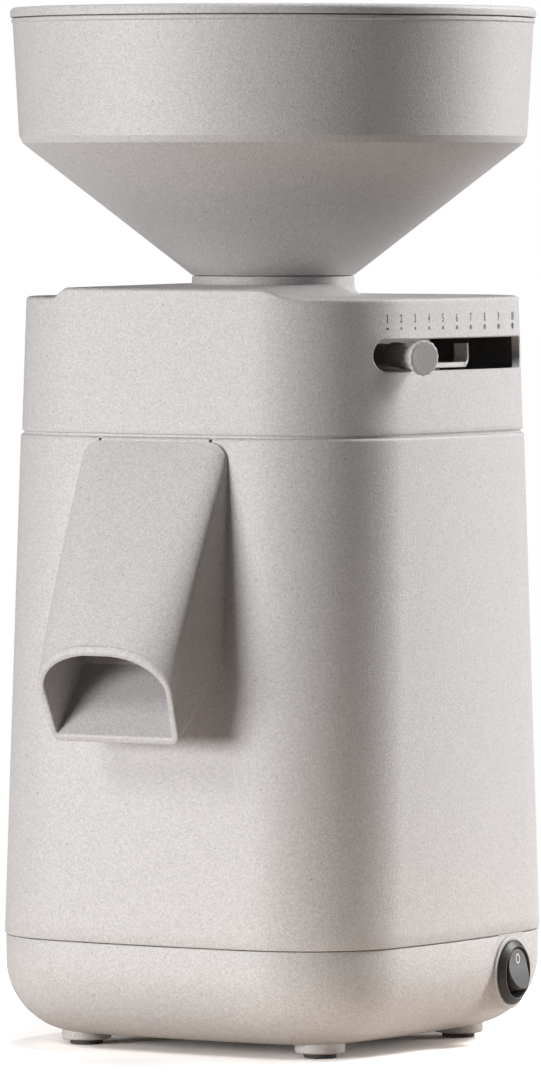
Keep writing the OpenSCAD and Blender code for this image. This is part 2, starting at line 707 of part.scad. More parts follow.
module lower_end_shield() {
    piece(aluminium) translate([0, 0, lower_shield_z]) difference() {
        union() {
            shield_shape(low_bearing[1]);
            four_round(mount_r) cylinder(r = 6, h = 5);
            four_round(mount_r - 8) translate([-4, -5, 0]) cube([10, 10, 5]);
        }
        four_round(mount_r) translate([0, 0, -1]) cylinder(r = screw_r + hole_gap, h = 8);
    }
}

module upper_end_shield() {
    piece(aluminium) translate([0, 0, chamber_z]) mirror([0, 0, 1]) difference() {
        shield_shape(high_bearing[1]);
        chamber_screw_places() translate([0, 0, -1]) cylinder(r = 1.8 + hole_gap, h = 8);
    }
}

module chamber_screw_places() {
    four_round(40, 0) children();
}

module stator_core() {
    piece(iron) translate([0, 0, stator_low]) difference() {
        cylinder(r = stator_r, h = stator_h);
        translate([0, 0, -1]) cylinder(r = stator_bore, h = stator_h + 2);
        four_round(bolt_circle, 45) translate([0, 0, -1]) cylinder(r = bolt_r + hole_gap, h = stator_h + 2);
    }
}

module stator_windings() {
    piece(copper) {
        translate([0, 0, stator_top]) winding_end();
        translate([0, 0, stator_low]) mirror([0, 0, 1]) winding_end();
    }
}

module winding_end() {
    mid = (winding_r + winding_in_r) / 2;
    half = (winding_r - winding_in_r) / 2;
    rotate_extrude() {
        translate([winding_in_r, 0]) square([2 * half, winding_h - half]);
        translate([mid, winding_h - half]) circle(r = half);
    }
}

module motor_bolts() {
    piece(steel) four_round(bolt_circle, 45) translate([0, 0, lower_shield_z])
        screw(bolt_r, chamber_z - lower_shield_z - 1, 3.6, 2.6);
}

module motor_grommets() {
    piece(rubber) four_round(mount_r) translate([0, 0, post_top]) difference() {
        union() {
            cylinder(r = 6.5, h = 2);
            cylinder(r = 4.6, h = grommet_h);
            translate([0, 0, grommet_h - 2]) cylinder(r = 6.5, h = 2);
        }
        translate([0, 0, -1]) cylinder(r = screw_r + hole_gap, h = grommet_h + 2);
    }
}

module mount_screws() {
    piece(steel) four_round(mount_r) translate([0, 0, lower_shield_z + 5]) mirror([0, 0, 1])
        screw(screw_r, 24, 3.6, 2.4);
}

capacitor_r = 14;
capacitor_h = 62;
capacitor_z = pillar_low + pillar_h + 0.3;
clamp_rise = 26;
clamp_h = 10;
capacitor_dist = corner_reach(capacitor_z + 30) - wall - capacitor_r - 1.9;
module at_capacitor() {
    rotate(135) translate([capacitor_dist, 0, capacitor_z]) children();
}

module run_capacitor() {
    piece(aluminium) at_capacitor() {
        cylinder(r = capacitor_r, h = capacitor_h);
        for (y = [-4, 4]) translate([-2.4, y - 0.4, capacitor_h]) cube([4.8, 0.8, 7]);
    }
}

module capacitor_clamp() {
    piece(steel) at_capacitor() translate([0, 0, clamp_rise]) difference() {
        union() {
            cylinder(r = capacitor_r + 1.3, h = clamp_h);
            translate([-capacitor_r - 5, -3, 0]) cube([8, 6, clamp_h]);
        }
        translate([0, 0, -1]) cylinder(r = capacitor_r + 0.05, h = clamp_h + 2);
        translate([-capacitor_r - 6, -1, -1]) cube([12, 2, clamp_h + 2]);
    }
}

module thermal_cutout() {
    piece(black) rotate(-60) translate([34, 0, stator_top + winding_h]) translate([-3, -8, 0]) cube([6, 16, 4]);
}

// Bearing: outer race, balls and inner race between the bore and outer radius of b
ball_gap = 0.05;
module race_outer(b) {
    difference() {
        tube(b[1] - 0.02, b[1] - 2.6, b[2]);
        ball_groove(b);
    }
}

module race_inner(b) {
    difference() {
        tube(b[0] + 2.6, b[0] + 0.02, b[2]);
        ball_groove(b);
    }
}

module ball_groove(b) {
    translate([0, 0, b[2] / 2]) rotate_extrude() translate([(b[0] + b[1]) / 2, 0])
        circle(r = ball_r(b) + ball_gap, $fn = 48);
}

function ball_r(b) = (b[1] - b[0]) / 2 - 1.9;

module balls(b) {
    translate([0, 0, b[2] / 2]) for (i = [0 : 7]) rotate(45 * i) translate([(b[0] + b[1]) / 2, 0, 0])
        sphere(r = ball_r(b), $fn = 32);
}

module lower_bearing_outer() { piece(steel) translate([0, 0, low_bearing_z]) race_outer(low_bearing); }
module lower_bearing_balls() { piece(steel) translate([0, 0, low_bearing_z]) balls(low_bearing); }
module lower_bearing_inner() { piece(steel) translate([0, 0, low_bearing_z]) race_inner(low_bearing); }
module upper_bearing_outer() { piece(steel) translate([0, 0, high_bearing_z]) race_outer(high_bearing); }
module upper_bearing_balls() { piece(steel) translate([0, 0, high_bearing_z]) balls(high_bearing); }
module upper_bearing_inner() { piece(steel) translate([0, 0, high_bearing_z]) race_inner(high_bearing); }

module motor_shaft() {
    piece(steel) difference() {
        union() {
            translate([0, 0, shaft_low])
                cylinder(r = low_bearing[0], h = low_bearing_z + low_bearing[2] + 2 - shaft_low);
            translate([0, 0, low_bearing_z + low_bearing[2] + 1])
                cylinder(r = shaft_r, h = shaft_top - low_bearing_z - low_bearing[2] - 1);
            translate([0, 0, high_bearing_z - 3]) cylinder(r = shaft_r + 1.5, h = 3);
        }
        translate([0, 0, shaft_top - 16]) cylinder(r = 3 + hole_gap, h = 17);
    }
}

module rotor_core() {
    piece(iron) translate([0, 0, stator_low - 2]) difference() {
        union() {
            cylinder(r = rotor_r, h = stator_h + 4);
            translate([0, 0, -5]) cylinder(r = rotor_r - 1, h = stator_h + 14);
        }
        translate([0, 0, -6]) cylinder(r = shaft_r + 0.02, h = stator_h + 16);
        translate([0, 0, -6]) cylinder(r = rotor_r - 8, h = 5);
        translate([0, 0, stator_h + 5]) cylinder(r = rotor_r - 8, h = 6);
    }
}

fan_z = shaft_low + 4;
fan_h = 12;
module cooling_fan() {
    piece(black) translate([0, 0, fan_z]) difference() {
        union() {
            cylinder(r = 9, h = fan_h);
            translate([0, 0, fan_h - 2]) cylinder(r = fan_r, h = 2);
            for (i = [0 : 8]) rotate(40 * i) translate([8, -0.8, 0]) cube([fan_r - 9, 1.6, fan_h - 1]);
        }
        translate([0, 0, -1]) cylinder(r = low_bearing[0] + 0.02, h = fan_h + 2);
    }
}

module fan_clip() {
    piece(steel) translate([0, 0, fan_z - 1.2]) tube(7.5, low_bearing[0] + 0.02, 1.2);
}

// ---- Flour chamber and grinding set ----

outlet_half_w = 20;
outlet_h = 27;
seal_r = 12;
module flour_chamber() {
    duct_end = spout_back_y - 4.5;
    piece(plastic) difference() {
        union() {
            translate([0, 0, chamber_z]) cylinder(r = chamber_r + wall, h = flange_top - chamber_z);
            translate([0, 0, flange_top - 3]) cylinder(r = chamber_r + wall + 3, h = 3);
            for (a = [45 : 90 : 315]) rotate(a) translate([0, 0, flange_top - 4]) {
                translate([top_boss * sqrt(2), 0, 0]) cylinder(r = 6, h = 4);
                translate([chamber_r, -6, 0]) cube([top_boss * sqrt(2) - chamber_r, 12, 4]);
            }
            translate([-outlet_half_w - 2.4, duct_end, chamber_z])
                cube([2 * outlet_half_w + 4.8, -duct_end - 45, outlet_h + wall + 2.4]);
        }
        translate([0, 0, chamber_floor]) cylinder(r = chamber_r, h = flange_top - chamber_floor + 1);
        translate([-outlet_half_w, duct_end - 1, chamber_floor]) cube([2 * outlet_half_w, -duct_end - 40, outlet_h]);
        translate([0, 0, chamber_z - 1]) cylinder(r = shaft_r + 1, h = wall + 2);
        chamber_screw_places() translate([0, 0, chamber_z - 1]) cylinder(r = 2 + hole_gap, h = wall + 2);
        chamber_screw_places() translate([0, 0, chamber_floor - 1.6]) cylinder(r = 3.7, h = 2);
        for (a = [45 : 90 : 315]) rotate(a) translate([top_boss * sqrt(2), 0, flange_top - 5])
            cylinder(r = screw_r - 0.2 + hole_gap, h = 6);
    }
}

module chamber_screws() {
    piece(steel) chamber_screw_places() translate([0, 0, chamber_floor - 1.6]) mirror([0, 0, 1])
        screw(1.8, 6, 3.5, 1.3);
}

// Felt ring on the chamber's floor round the shaft
module shaft_seal() {
    piece(felt) translate([0, 0, chamber_floor]) tube(seal_r, shaft_r + 0.3, 0.9);
}

module chamber_gasket() {
    piece(felt) translate([0, 0, flange_top]) tube(chamber_r + 2, chamber_r + 0.2, 1.2);
}

module stone_carrier() {
    hub_low = chamber_floor + 1.2;
    piece(aluminium) difference() {
        union() {
            translate([0, 0, hub_low]) cylinder(r = 11, h = carrier_z + 6 - hub_low);
            translate([0, 0, carrier_z]) cylinder(r = stone_r - 1, h = 6);
            for (i = [0 : 3]) rotate(90 * i + 45) translate([stone_r - 8, -1.5, chamber_floor + 0.5])
                cube([chamber_r - 0.7 - stone_r + 8, 3, lower_stone_z - chamber_floor - 0.5]);
        }
        translate([0, 0, hub_low - 1]) cylinder(r = shaft_r + 0.02, h = 30);
        translate([0, 0, lower_stone_z]) cylinder(r = stone_r + 20, h = 10);
    }
}

furrows = 10;
module furrow_cuts(z, depth) {
    for (i = [0 : furrows - 1]) rotate(360 / furrows * i) translate([10, -13, z])
        rotate(18) translate([10, 0, 0]) cube([stone_r, 2.4, depth]);
}

module lower_millstone() {
    piece(stone) translate([0, 0, lower_stone_z]) difference() {
        cylinder(r = stone_r, h = stone_t);
        translate([0, 0, -1]) cylinder(r = shaft_r + 0.5, h = stone_t + 2);
        translate([0, 0, stone_t - 7]) cylinder(r = eye_r, h = 8);
        translate([0, 0, stone_t - 2]) cylinder(r1 = eye_r, r2 = eye_r + 14, h = 2.01);
        furrow_cuts(stone_t - 1.2, 3);
    }
}

module clamp_washer() {
    piece(steel) translate([0, 0, lower_stone_z + stone_t - 7]) tube(eye_r - 3, 3 + hole_gap, 2);
}

module clamp_screw() {
    piece(steel) translate([0, 0, lower_stone_z + stone_t - 5]) mirror([0, 0, 1]) difference() {
        screw(3, 14, 6, 4.5);
        translate([0, 0, -5]) cylinder(r = 2.6, h = 3, $fn = 6);
    }
}

module upper_millstone() {
    piece(stone) translate([0, 0, upper_stone_z]) difference() {
        cylinder(r = stone_r, h = stone_t);
        translate([0, 0, -1]) cylinder(r = eye_r, h = stone_t + 2);
        translate([0, 0, -0.01]) cylinder(r1 = eye_r + 14, r2 = eye_r, h = 3);
        mirror([0, 0, 1]) furrow_cuts(-1.2, 3);
        holder_screw_places() translate([0, 0, stone_t - 9]) cylinder(r = 1.8 + hole_gap, h = 10);
    }
}

module holder_screw_places() {
    for (a = [60 : 120 : 300]) rotate(a) translate([35, 0, 0]) children();
}

holder_t = 5;
holder_r = ring_drum_r - 3.2;
holder_tube = [18.2, 21.5];
holder_tube_rise = 12;
holder_tube_top = key_low + holder_tube_rise;
module stone_holder() {
    piece(aluminium) difference() {
        union() {
            translate([0, 0, holder_z - 10]) cylinder(r = holder_r, h = 10 + holder_t);
            translate([0, 0, holder_z]) cylinder(r = holder_tube[1], h = holder_tube_top - holder_z);
            for (a = [0 : 120 : 240]) rotate(a) translate([holder_tube[1] - 1, -key_w / 2, holder_z + holder_t - 1])
                cube([11, key_w, key_low + 8 - holder_z - holder_t + 1]);
        }
        translate([0, 0, holder_z - 11]) cylinder(r = stone_r + 0.1, h = 11);
        translate([0, 0, holder_z - 2]) cylinder(r = holder_tube[0], h = holder_tube_top);
        holder_screw_places() translate([0, 0, holder_z - 1]) cylinder(r = 1.8 + hole_gap, h = holder_t + 2);
    }
}

module holder_screws() {
    piece(steel) holder_screw_places() translate([0, 0, holder_z + holder_t]) mirror([0, 0, 1])
        screw(1.8, 13, 3.4, 2.2);
}

// ---- Adjusting ring and lever ----

flange_z = slot_z - 3.2;
arm_z = slot_z + 0.6;
arm_t = 1.8;
arm_r = 70.4;
arm_from = lever_angle - 6;
arm_to = 14;
module adjusting_ring() {
    low = flange_top + 1.5;
    piece(lever_plastic) difference() {
        union() {
            translate([0, 0, low]) cylinder(r = ring_drum_r, h = ring_top - low);
            translate([0, 0, flange_z]) cylinder(r = 58, h = arm_z - flange_z);
        }
        translate([0, 0, low - 1]) cylinder(r = holder_r + run_gap, h = 50);
        rivet_places() translate([0, 0, flange_z - 1]) cylinder(r = 1.2, h = 10);
    }
}

module rivet_places() {
    for (a = [-20, -6, 8]) rotate(a) translate([54.6, 0, 0]) children();
}

// Sector plate on the adjusting ring with a curled tongue at its rear end and an ear for the knob
module lever_arm() {
    curl = 3.4;
    piece(lever_plastic) difference() {
        union() {
            rotate(arm_from) rotate_extrude(angle = arm_to - arm_from)
                translate([ring_drum_r + 0.1, arm_z]) square([arm_r - ring_drum_r - 0.1, arm_t]);
            rotate(lever_angle) translate([64, -4.2, arm_z]) cube([6.4, 8.4, 8.6]);
            rotate(arm_to) translate([65.5, -0.5, arm_z + arm_t - 1.4]) rotate([90, 0, 90]) linear_extrude(5) {
                intersection() {
                    difference() {
                        translate([0, curl]) circle(r = curl);
                        translate([0, curl]) circle(r = curl - 1.4);
                    }
                    translate([0, -1]) square([curl + 1, curl + 1]);
                }
                translate([curl - 1.4, curl - 0.01]) square([1.4, 4.4]);
            }
        }
        rivet_places() translate([0, 0, arm_z - 1]) cylinder(r = 1.2, h = 10);
        rotate(lever_angle) translate([60, 0, knob_z(60)]) rotate([0, 90 + knob_droop, 0]) cylinder(r = 1.55, h = 14);
    }
}

module arm_rivets() {
    piece(steel) rivet_places() translate([0, 0, arm_z + arm_t]) mirror([0, 0, 1])
        screw(1.15, arm_z + arm_t - flange_z, 2.2, 0.8);
}

// Knob: turned form on a radial axis that droops slightly
knob_droop = 3;
knob_from = 70.6;
knob_wall = 83;          // distance from the axis at which the knob begins to widen outside the slot
knob_clear = 0.45;       // between the knob and the slot's lower edge
function knob_z(r) = slot_z + knob_neck_r + knob_clear + (knob_wall + 1.6 - r) * tan(knob_droop);
module at_knob() {
    rotate(lever_angle) translate([knob_from, 0, knob_z(knob_from)]) rotate([0, 90 + knob_droop, 0]) children();
}

knob_l = (knob_reach - knob_from) / cos(knob_droop);
neck_l = (knob_wall - knob_from) / cos(knob_droop);
module lever_knob() {
    piece(lever_plastic) at_knob() difference() {
        rotate_extrude() polygon([
            [0, 0], [knob_neck_r - 0.15, 0], [knob_neck_r, 2], [knob_neck_r, neck_l], [knob_end_r, knob_l - 0.7],
            [knob_end_r - 0.15, knob_l - 0.2], [knob_end_r - 0.6, knob_l], [0, knob_l]
        ]);
        translate([0, 0, -1]) cylinder(r = 1.5, h = 11);
    }
}

module knob_screw() {
    piece(steel) rotate(lever_angle) translate([63.8, 0, knob_z(63.8)]) rotate([0, 90 + knob_droop, 0])
        screw(1.45, 15.5, 2.9, 1.8);
}

// ---- Hopper ----

spigot_r = 24.3;
nose_r = 17.7;
nose_low = key_low + 5.5;
spigot_low = holder_tube_top + 1;
cone_r = hopper_low_r - 1.2;
cone_slope = (hopper_cone_h - 2.5) / (cone_r - collar_r);
cone_lift = hopper_wall * sqrt(1 + cone_slope * cone_slope);
function inner_cone(r) = hopper_seat + cone_lift + (r - collar_r) * cone_slope;

// The seam of the turned solids stands off the axes
seam_turn = 33;

module hopper() {
    wall_in = hopper_wall;
    piece(plastic) rotate(seam_turn) rotate_extrude($fn = 128) polygon([
        [throat_r, nose_low], [nose_r, nose_low], [nose_r, inner_cone(nose_r) - 3.2],
        [spigot_r - hopper_wall, inner_cone(spigot_r - hopper_wall) - 3.2], [spigot_r - hopper_wall, spigot_low],
        [spigot_r, spigot_low], [spigot_r, hopper_seat], [collar_r, hopper_seat],
        [cone_r, cone_top - 2.5], [hopper_low_r, cone_top], [hopper_rim_r, rim_z - 1.6],
        [hopper_rim_r + 0.5, rim_z - 1.2], [hopper_rim_r + 0.5, rim_z - 0.2], [hopper_rim_r + 0.3, rim_z],
        [hopper_rim_r - wall_in, rim_z], [hopper_low_r - wall_in, cone_top + 1],
        [cone_r - wall_in, inner_cone(cone_r - wall_in)], [throat_r, inner_cone(throat_r)]
    ]);
}

// Cross that lies on the lower cone and keeps fingers out of the throat
guard_r = 22;
module finger_guard() {
    low = inner_cone(guard_r) + 0.3;
    piece(plastic) intersection() {
        for (a = [0, 90]) rotate(a) translate([-guard_r, -1.2, low]) cube([2 * guard_r, 2.4, 6]);
        translate([0, 0, low - 1]) cylinder(r = guard_r, h = 10);
    }
}

// ---- Lid ----

lid_edge = 1.8;
module hopper_lid() {
    skirt_r = hopper_rim_r - hopper_wall - 1.1;
    edge = [for (i = [0 : 6]) let (t = 90 * i / 6)
        [lid_r - lid_edge + lid_edge * cos(t), lid_z + lid_t - lid_edge + lid_edge * sin(t)]];
    piece(plastic) rotate(seam_turn) rotate_extrude($fn = 128) polygon(concat(
        [[0, lid_z + lid_t - 2.6], [skirt_r - 2, lid_z + lid_t - 2.6], [skirt_r - 2, lid_z - 5.5],
            [skirt_r, lid_z - 5.5], [skirt_r, lid_z], [lid_r - 0.4, lid_z], [lid_r, lid_z + 0.4]],
        edge, [[0, lid_z + lid_t]]
    ));
}

base_tray();
bottom_cover();
cover_screws();
foot_front_left();
foot_front_right();
foot_rear_left();
foot_rear_right();
housing_screws();
main_housing();
spout();
top_housing();
top_screws();
cord_inlet();
switch_bezel();
switch_body();
switch_terminals();
switch_rocker();
rocker_pin();
terminal_block();
wiring();
motor_grommets();
mount_screws();
lower_end_shield();
upper_end_shield();
stator_core();
stator_windings();
motor_bolts();
run_capacitor();
capacitor_clamp();
thermal_cutout();
lower_bearing_outer();
lower_bearing_balls();
lower_bearing_inner();
upper_bearing_outer();
upper_bearing_balls();
upper_bearing_inner();
motor_shaft();
rotor_core();
cooling_fan();
fan_clip();
flour_chamber();
chamber_screws();
shaft_seal();
chamber_gasket();
stone_carrier();
lower_millstone();
clamp_washer();
clamp_screw();
upper_millstone();
stone_holder();
holder_screws();
adjusting_ring();
lever_arm();
arm_rivets();
lever_knob();
knob_screw();
hopper();
finger_guard();
hopper_lid();
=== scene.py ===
import json
import math
import bmesh
import bpy
from mathutils import Matrix, Vector


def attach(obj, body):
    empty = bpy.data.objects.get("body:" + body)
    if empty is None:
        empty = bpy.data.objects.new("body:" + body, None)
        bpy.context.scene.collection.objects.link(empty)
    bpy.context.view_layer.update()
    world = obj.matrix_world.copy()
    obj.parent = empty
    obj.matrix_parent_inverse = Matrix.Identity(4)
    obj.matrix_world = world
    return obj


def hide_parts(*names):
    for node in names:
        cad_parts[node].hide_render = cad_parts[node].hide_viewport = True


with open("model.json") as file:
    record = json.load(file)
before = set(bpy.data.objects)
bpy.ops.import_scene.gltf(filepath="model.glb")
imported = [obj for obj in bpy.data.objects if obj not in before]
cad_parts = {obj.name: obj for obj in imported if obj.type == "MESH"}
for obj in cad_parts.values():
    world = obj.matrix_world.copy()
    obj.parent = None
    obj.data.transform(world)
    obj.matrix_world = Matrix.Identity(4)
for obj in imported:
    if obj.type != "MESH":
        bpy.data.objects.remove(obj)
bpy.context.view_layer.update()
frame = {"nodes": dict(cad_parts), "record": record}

# Electric grain mill. Lengths below are millimetres from the mill's upright axis, with the floor at z = 0
# and the spout towards -y; place() turns them into the frame's metres.
mm = 0.001
axisY = 10.25            # the axis stands this far behind the middle of the outline
housingFit = {"lowW": 80.6, "lowD": 81.6, "topW": 77.0, "topD": 75.6, "lowZ": 38.5, "topZ": 212.5,
              "corner": 42.0, "bow": 430.0}


def place(points):
    return [(x * mm, (y + axisY) * mm, z * mm) for x, y, z in points]


def mix(a, b, t):
    return a + (b - a) * t


def mixPoint(a, b, t):
    return [mix(p, q, t) for p, q in zip(a, b)]


def spread(a, b, n):
    return [mix(a, b, i / n) for i in range(n + 1)]


def smoothStep(t):
    t = max(0.0, min(1.0, t))
    return t * t * (3 - 2 * t)


def circle(count):
    return [2 * math.pi * i / count for i in range(count)]


def toned(tone, factor):
    return tuple(min(1.0, c * factor) for c in tone)


class Sock:                              # a socket that takes part in Python arithmetic
    def __init__(self, sheet, socket):
        self.sheet, self.socket = sheet, socket

    def reckon(self, operation, first, second):
        return self.sheet.node("ShaderNodeMath", {"operation": operation}, {0: first, 1: second})

    def __add__(self, other):
        return self.reckon("ADD", self, other)

    def __radd__(self, other):
        return self.reckon("ADD", other, self)

    def __sub__(self, other):
        return self.reckon("SUBTRACT", self, other)

    def __rsub__(self, other):
        return self.reckon("SUBTRACT", other, self)

    def __mul__(self, other):
        return self.reckon("MULTIPLY", self, other)

    def __rmul__(self, other):
        return self.reckon("MULTIPLY", other, self)

    def __lt__(self, other):
        return self.reckon("LESS_THAN", self, other)

    def __gt__(self, other):
        return self.reckon("GREATER_THAN", self, other)


class Sheet:                             # one material's node tree
    def __init__(self, name, world=False):
        self.owner = bpy.data.worlds.new(name) if world else bpy.data.materials.new(name)
        self.owner.use_nodes = True
        self.tree = self.owner.node_tree
        self.tree.nodes.clear()

    def node(self, kind, settings=None, sockets=None, out=0):
        made = self.tree.nodes.new(kind)
        for key, value in (settings or {}).items():
            if key == "stops":
                ramp = made.color_ramp.elements
                while len(ramp) < len(value):
                    ramp.new(1.0)
                for stop, (at, tone) in zip(ramp, value):
                    stop.position = at
                    stop.color = (tone, tone, tone, 1) if isinstance(tone, (int, float)) else (*tone, 1)
            else:
                setattr(made, key, value)
        for key, value in (sockets or {}).items():
            if isinstance(value, Sock):
                self.tree.links.new(value.socket, made.inputs[key])
            elif isinstance(value, tuple) and len(value) == 3 and made.inputs[key].type == "RGBA":
                made.inputs[key].default_value = (*value, 1)
            else:
                made.inputs[key].default_value = value
        return Sock(self, made.outputs[out])

    def where(self):                     # place on the piece, in millimetres
        spot = self.node("ShaderNodeTexCoord", out="Object")
        return self.node("ShaderNodeVectorMath", {"operation": "SCALE"}, {0: spot, "Scale": 1 / mm})

    def height(self, spot):
        return self.node("ShaderNodeSeparateXYZ", {}, {"Vector": spot}, 2)

    def noise(self, spot, scale, detail=2.0, rough=0.5, out="Fac"):
        return self.node("ShaderNodeTexNoise", {},
                         {"Vector": spot, "Scale": scale, "Detail": detail, "Roughness": rough}, out)

    def cells(self, spot, scale, out="Distance"):
        return self.node("ShaderNodeTexVoronoi", {}, {"Vector": spot, "Scale": scale}, out)

    def grains(self, spot, scale):       # one value for each cell
        return self.node("ShaderNodeSeparateColor", {}, {"Color": self.cells(spot, scale, "Color")})

    def ramp(self, value, stops):
        return self.node("ShaderNodeValToRGB", {"stops": stops}, {"Fac": value})

    def paint(self, fac, under, over):
        return self.node("ShaderNodeMix", {"data_type": "RGBA"}, {0: fac, 6: under, 7: over}, 2)

    def bump(self, height, distance, strength=1.0):
        return self.node("ShaderNodeBump", {}, {"Height": height, "Distance": distance, "Strength": strength})

    def finish(self, sockets):
        return self.close(self.node("ShaderNodeBsdfPrincipled", {}, sockets))

    def close(self, surface):
        world = isinstance(self.owner, bpy.types.World)
        end = self.tree.nodes.new("ShaderNodeOutputWorld" if world else "ShaderNodeOutputMaterial")
        self.tree.links.new(surface.socket, end.inputs["Surface"])
        return self.owner


speckle = {"grit": 2.3, "fleck": 1.25, "spot": 0.36, "fine": 2.9, "darker": 0.26, "lighter": 0.20, "fleckShade": 0.34,
           "spotShade": 0.5, "relief": 0.00014, "level": 0.85}


def speckledPlastic(name, tone, fleck, amount, roughness):
    # moulded plastic filled with ground fibre: a fine light and dark grit with sparse darker flecks
    m = speckle
    s = Sheet(name)
    spot = s.where()
    swirl = s.noise(spot, 0.9, 1.0, out="Color")
    drift = s.node("ShaderNodeVectorMath", {"operation": "SCALE"}, {0: swirl, "Scale": 0.5})
    warp = s.node("ShaderNodeVectorMath", {"operation": "ADD"}, {0: spot, 1: drift})
    grit, coarse, rare = (s.grains(warp, m[key]) for key in ("grit", "fleck", "spot"))
    small = (s.cells(warp, m["fleck"]) < (coarse - 0.45) * 0.5) * (s.noise(warp, 5.0, 1.0) > 0.4)
    big = (s.cells(warp, m["spot"]) < (rare - 0.6) * 0.4) * (s.noise(warp, 3.0, 1.0) > 0.42)
    fine = s.noise(spot, m["fine"], 2.0, 0.6)
    dark, light = toned(tone, 1 - m["darker"] * amount), toned(tone, 1 + m["lighter"] * amount)
    base = s.paint(grit * 0.62 + fine * 0.5 - 0.06, dark, light)
    base = s.paint(small * (m["fleckShade"] * amount), base, fleck)
    base = s.paint(big * (m["spotShade"] * amount), base, fleck)
    peel = fine + s.noise(spot, 1.1, 2.0) * 0.7
    return s.finish({"Base Color": base, "Roughness": fine * 0.12 + roughness, "Specular IOR Level": m["level"],
                     "Normal": s.bump(peel, m["relief"], 0.8), "IOR": 1.5})


def grainedPlastic(name, tone, roughness, grainSize, depth):
    # moulded plastic with a fine spark-eroded grain
    s = Sheet(name)
    spot = s.where()
    grain = s.noise(spot, grainSize, 3.0, 0.6)
    base = s.paint(s.noise(spot, 0.4, 2.0), toned(tone, 0.86), toned(tone, 1.16))
    return s.finish({"Base Color": base, "Roughness": grain * 0.16 + roughness, "Normal": s.bump(grain, depth, 0.6),
                     "IOR": 1.48})


def softRubber(name, tone):
    s = Sheet(name)
    spot = s.where()
    dust = s.ramp(s.noise(spot, 0.7, 4.0, 0.6), [(0.45, 0.0), (0.75, 1.0)])
    base = s.paint(dust * 0.35, tone, (0.2, 0.19, 0.18))
    return s.finish({"Base Color": base, "Roughness": dust * 0.1 + 0.72,
                     "Normal": s.bump(s.noise(spot, 3.0), 0.00005, 0.5)})


def turnedMetal(name, tone, roughness, lines):
    # machined or plated metal with tool lines and faint stains
    s = Sheet(name)
    spot = s.where()
    rings = s.noise(s.node("ShaderNodeCombineXYZ", {}, {"Z": s.height(spot)}), lines, 2.0)
    stain = s.noise(spot, 0.12, 4.0, 0.6)
    base = s.paint(stain, toned(tone, 0.82), tone)
    return s.finish({"Base Color": base, "Metallic": 1.0, "Roughness": rings * 0.14 + stain * 0.08 + roughness,
                     "Normal": s.bump(rings, 0.00003, 0.4)})


def castAluminium(name, tone):
    s = Sheet(name)
    spot = s.where()
    pits = s.noise(spot, 2.2, 4.0, 0.6)
    base = s.paint(s.noise(spot, 0.1, 3.0), toned(tone, 0.85), tone)
    return s.finish({"Base Color": base, "Metallic": 1.0, "Roughness": pits * 0.2 + 0.36,
                     "Normal": s.bump(pits, 0.0001, 0.6)})


def laminatedIron(name, tone):
    # sheet laminations 0.5 mm thick under varnish
    s = Sheet(name)
    spot = s.where()
    leaf = s.node("ShaderNodeMath", {"operation": "FRACT"}, {0: s.height(spot) * 2.0})
    joint = leaf < 0.14
    base = s.paint(joint * 0.7 + s.noise(spot, 0.5) * 0.2, tone, (0.03, 0.028, 0.027))
    return s.finish({"Base Color": base, "Metallic": 0.7, "Roughness": s.noise(spot, 0.8) * 0.2 + 0.4,
                     "Normal": s.bump(1 - joint, 0.00008, 0.7)})


def woundCopper(name, tone):
    # enamelled wire laid round the motor's axis
    s = Sheet(name)
    spot = s.where()
    layer = (s.height(spot) + s.noise(spot, 0.15, 1.0) * 1.5) * 7.8
    turn = s.node("ShaderNodeMath", {"operation": "SINE"}, {0: layer})
    # darker towards each groove between turns: painted shade between the round wires
    base = s.paint(turn * 0.4 + 0.5, toned(tone, 0.45), tone)
    return s.finish({"Base Color": base, "Metallic": 0.8, "Roughness": turn * 0.06 + 0.32,
                     "Normal": s.bump(turn, 0.0002, 0.8)})


def pressedFelt(name, tone):
    s = Sheet(name)
    hair = s.noise(s.where(), 3.5, 5.0, 0.7)
    base = s.paint(hair, toned(tone, 0.6), toned(tone, 1.3))
    return s.finish({"Base Color": base, "Roughness": 0.95, "Normal": s.bump(hair, 0.0004, 0.9)})


def boundGrit(name, tone):
    # ceramic-bonded corundum grit
    s = Sheet(name)
    spot = s.where()
    size = 1.6                           # grains to the millimetre
    grit, bond = s.grains(spot, size), s.cells(spot, size)
    base = s.paint(grit, toned(tone, 0.72), toned(tone, 1.15))
    base = s.paint(s.ramp(bond, [(0.5, 0.0), (0.8, 1.0)]) * 0.6, base, (0.4, 0.38, 0.36))
    return s.finish({"Base Color": base, "Roughness": grit * 0.15 + 0.75, "Normal": s.bump(1 - bond, 0.0005, 0.8)})


def printedInk(name, tone):
    # pad print: a thin film that lets the grain below show
    s = Sheet(name)
    spot = s.where()
    wear = s.ramp(s.noise(spot, 3.2, 3.0, 0.6), [(0.3, 0.0), (0.75, 1.0)])
    base = s.paint(wear * 0.3, tone, tuple(mix(c, 0.5, 0.07) for c in tone))
    return s.finish({"Base Color": base, "Roughness": wear * 0.12 + 0.42,
                     "Normal": s.bump(s.noise(spot, 1.3), 0.00005, 0.5)})


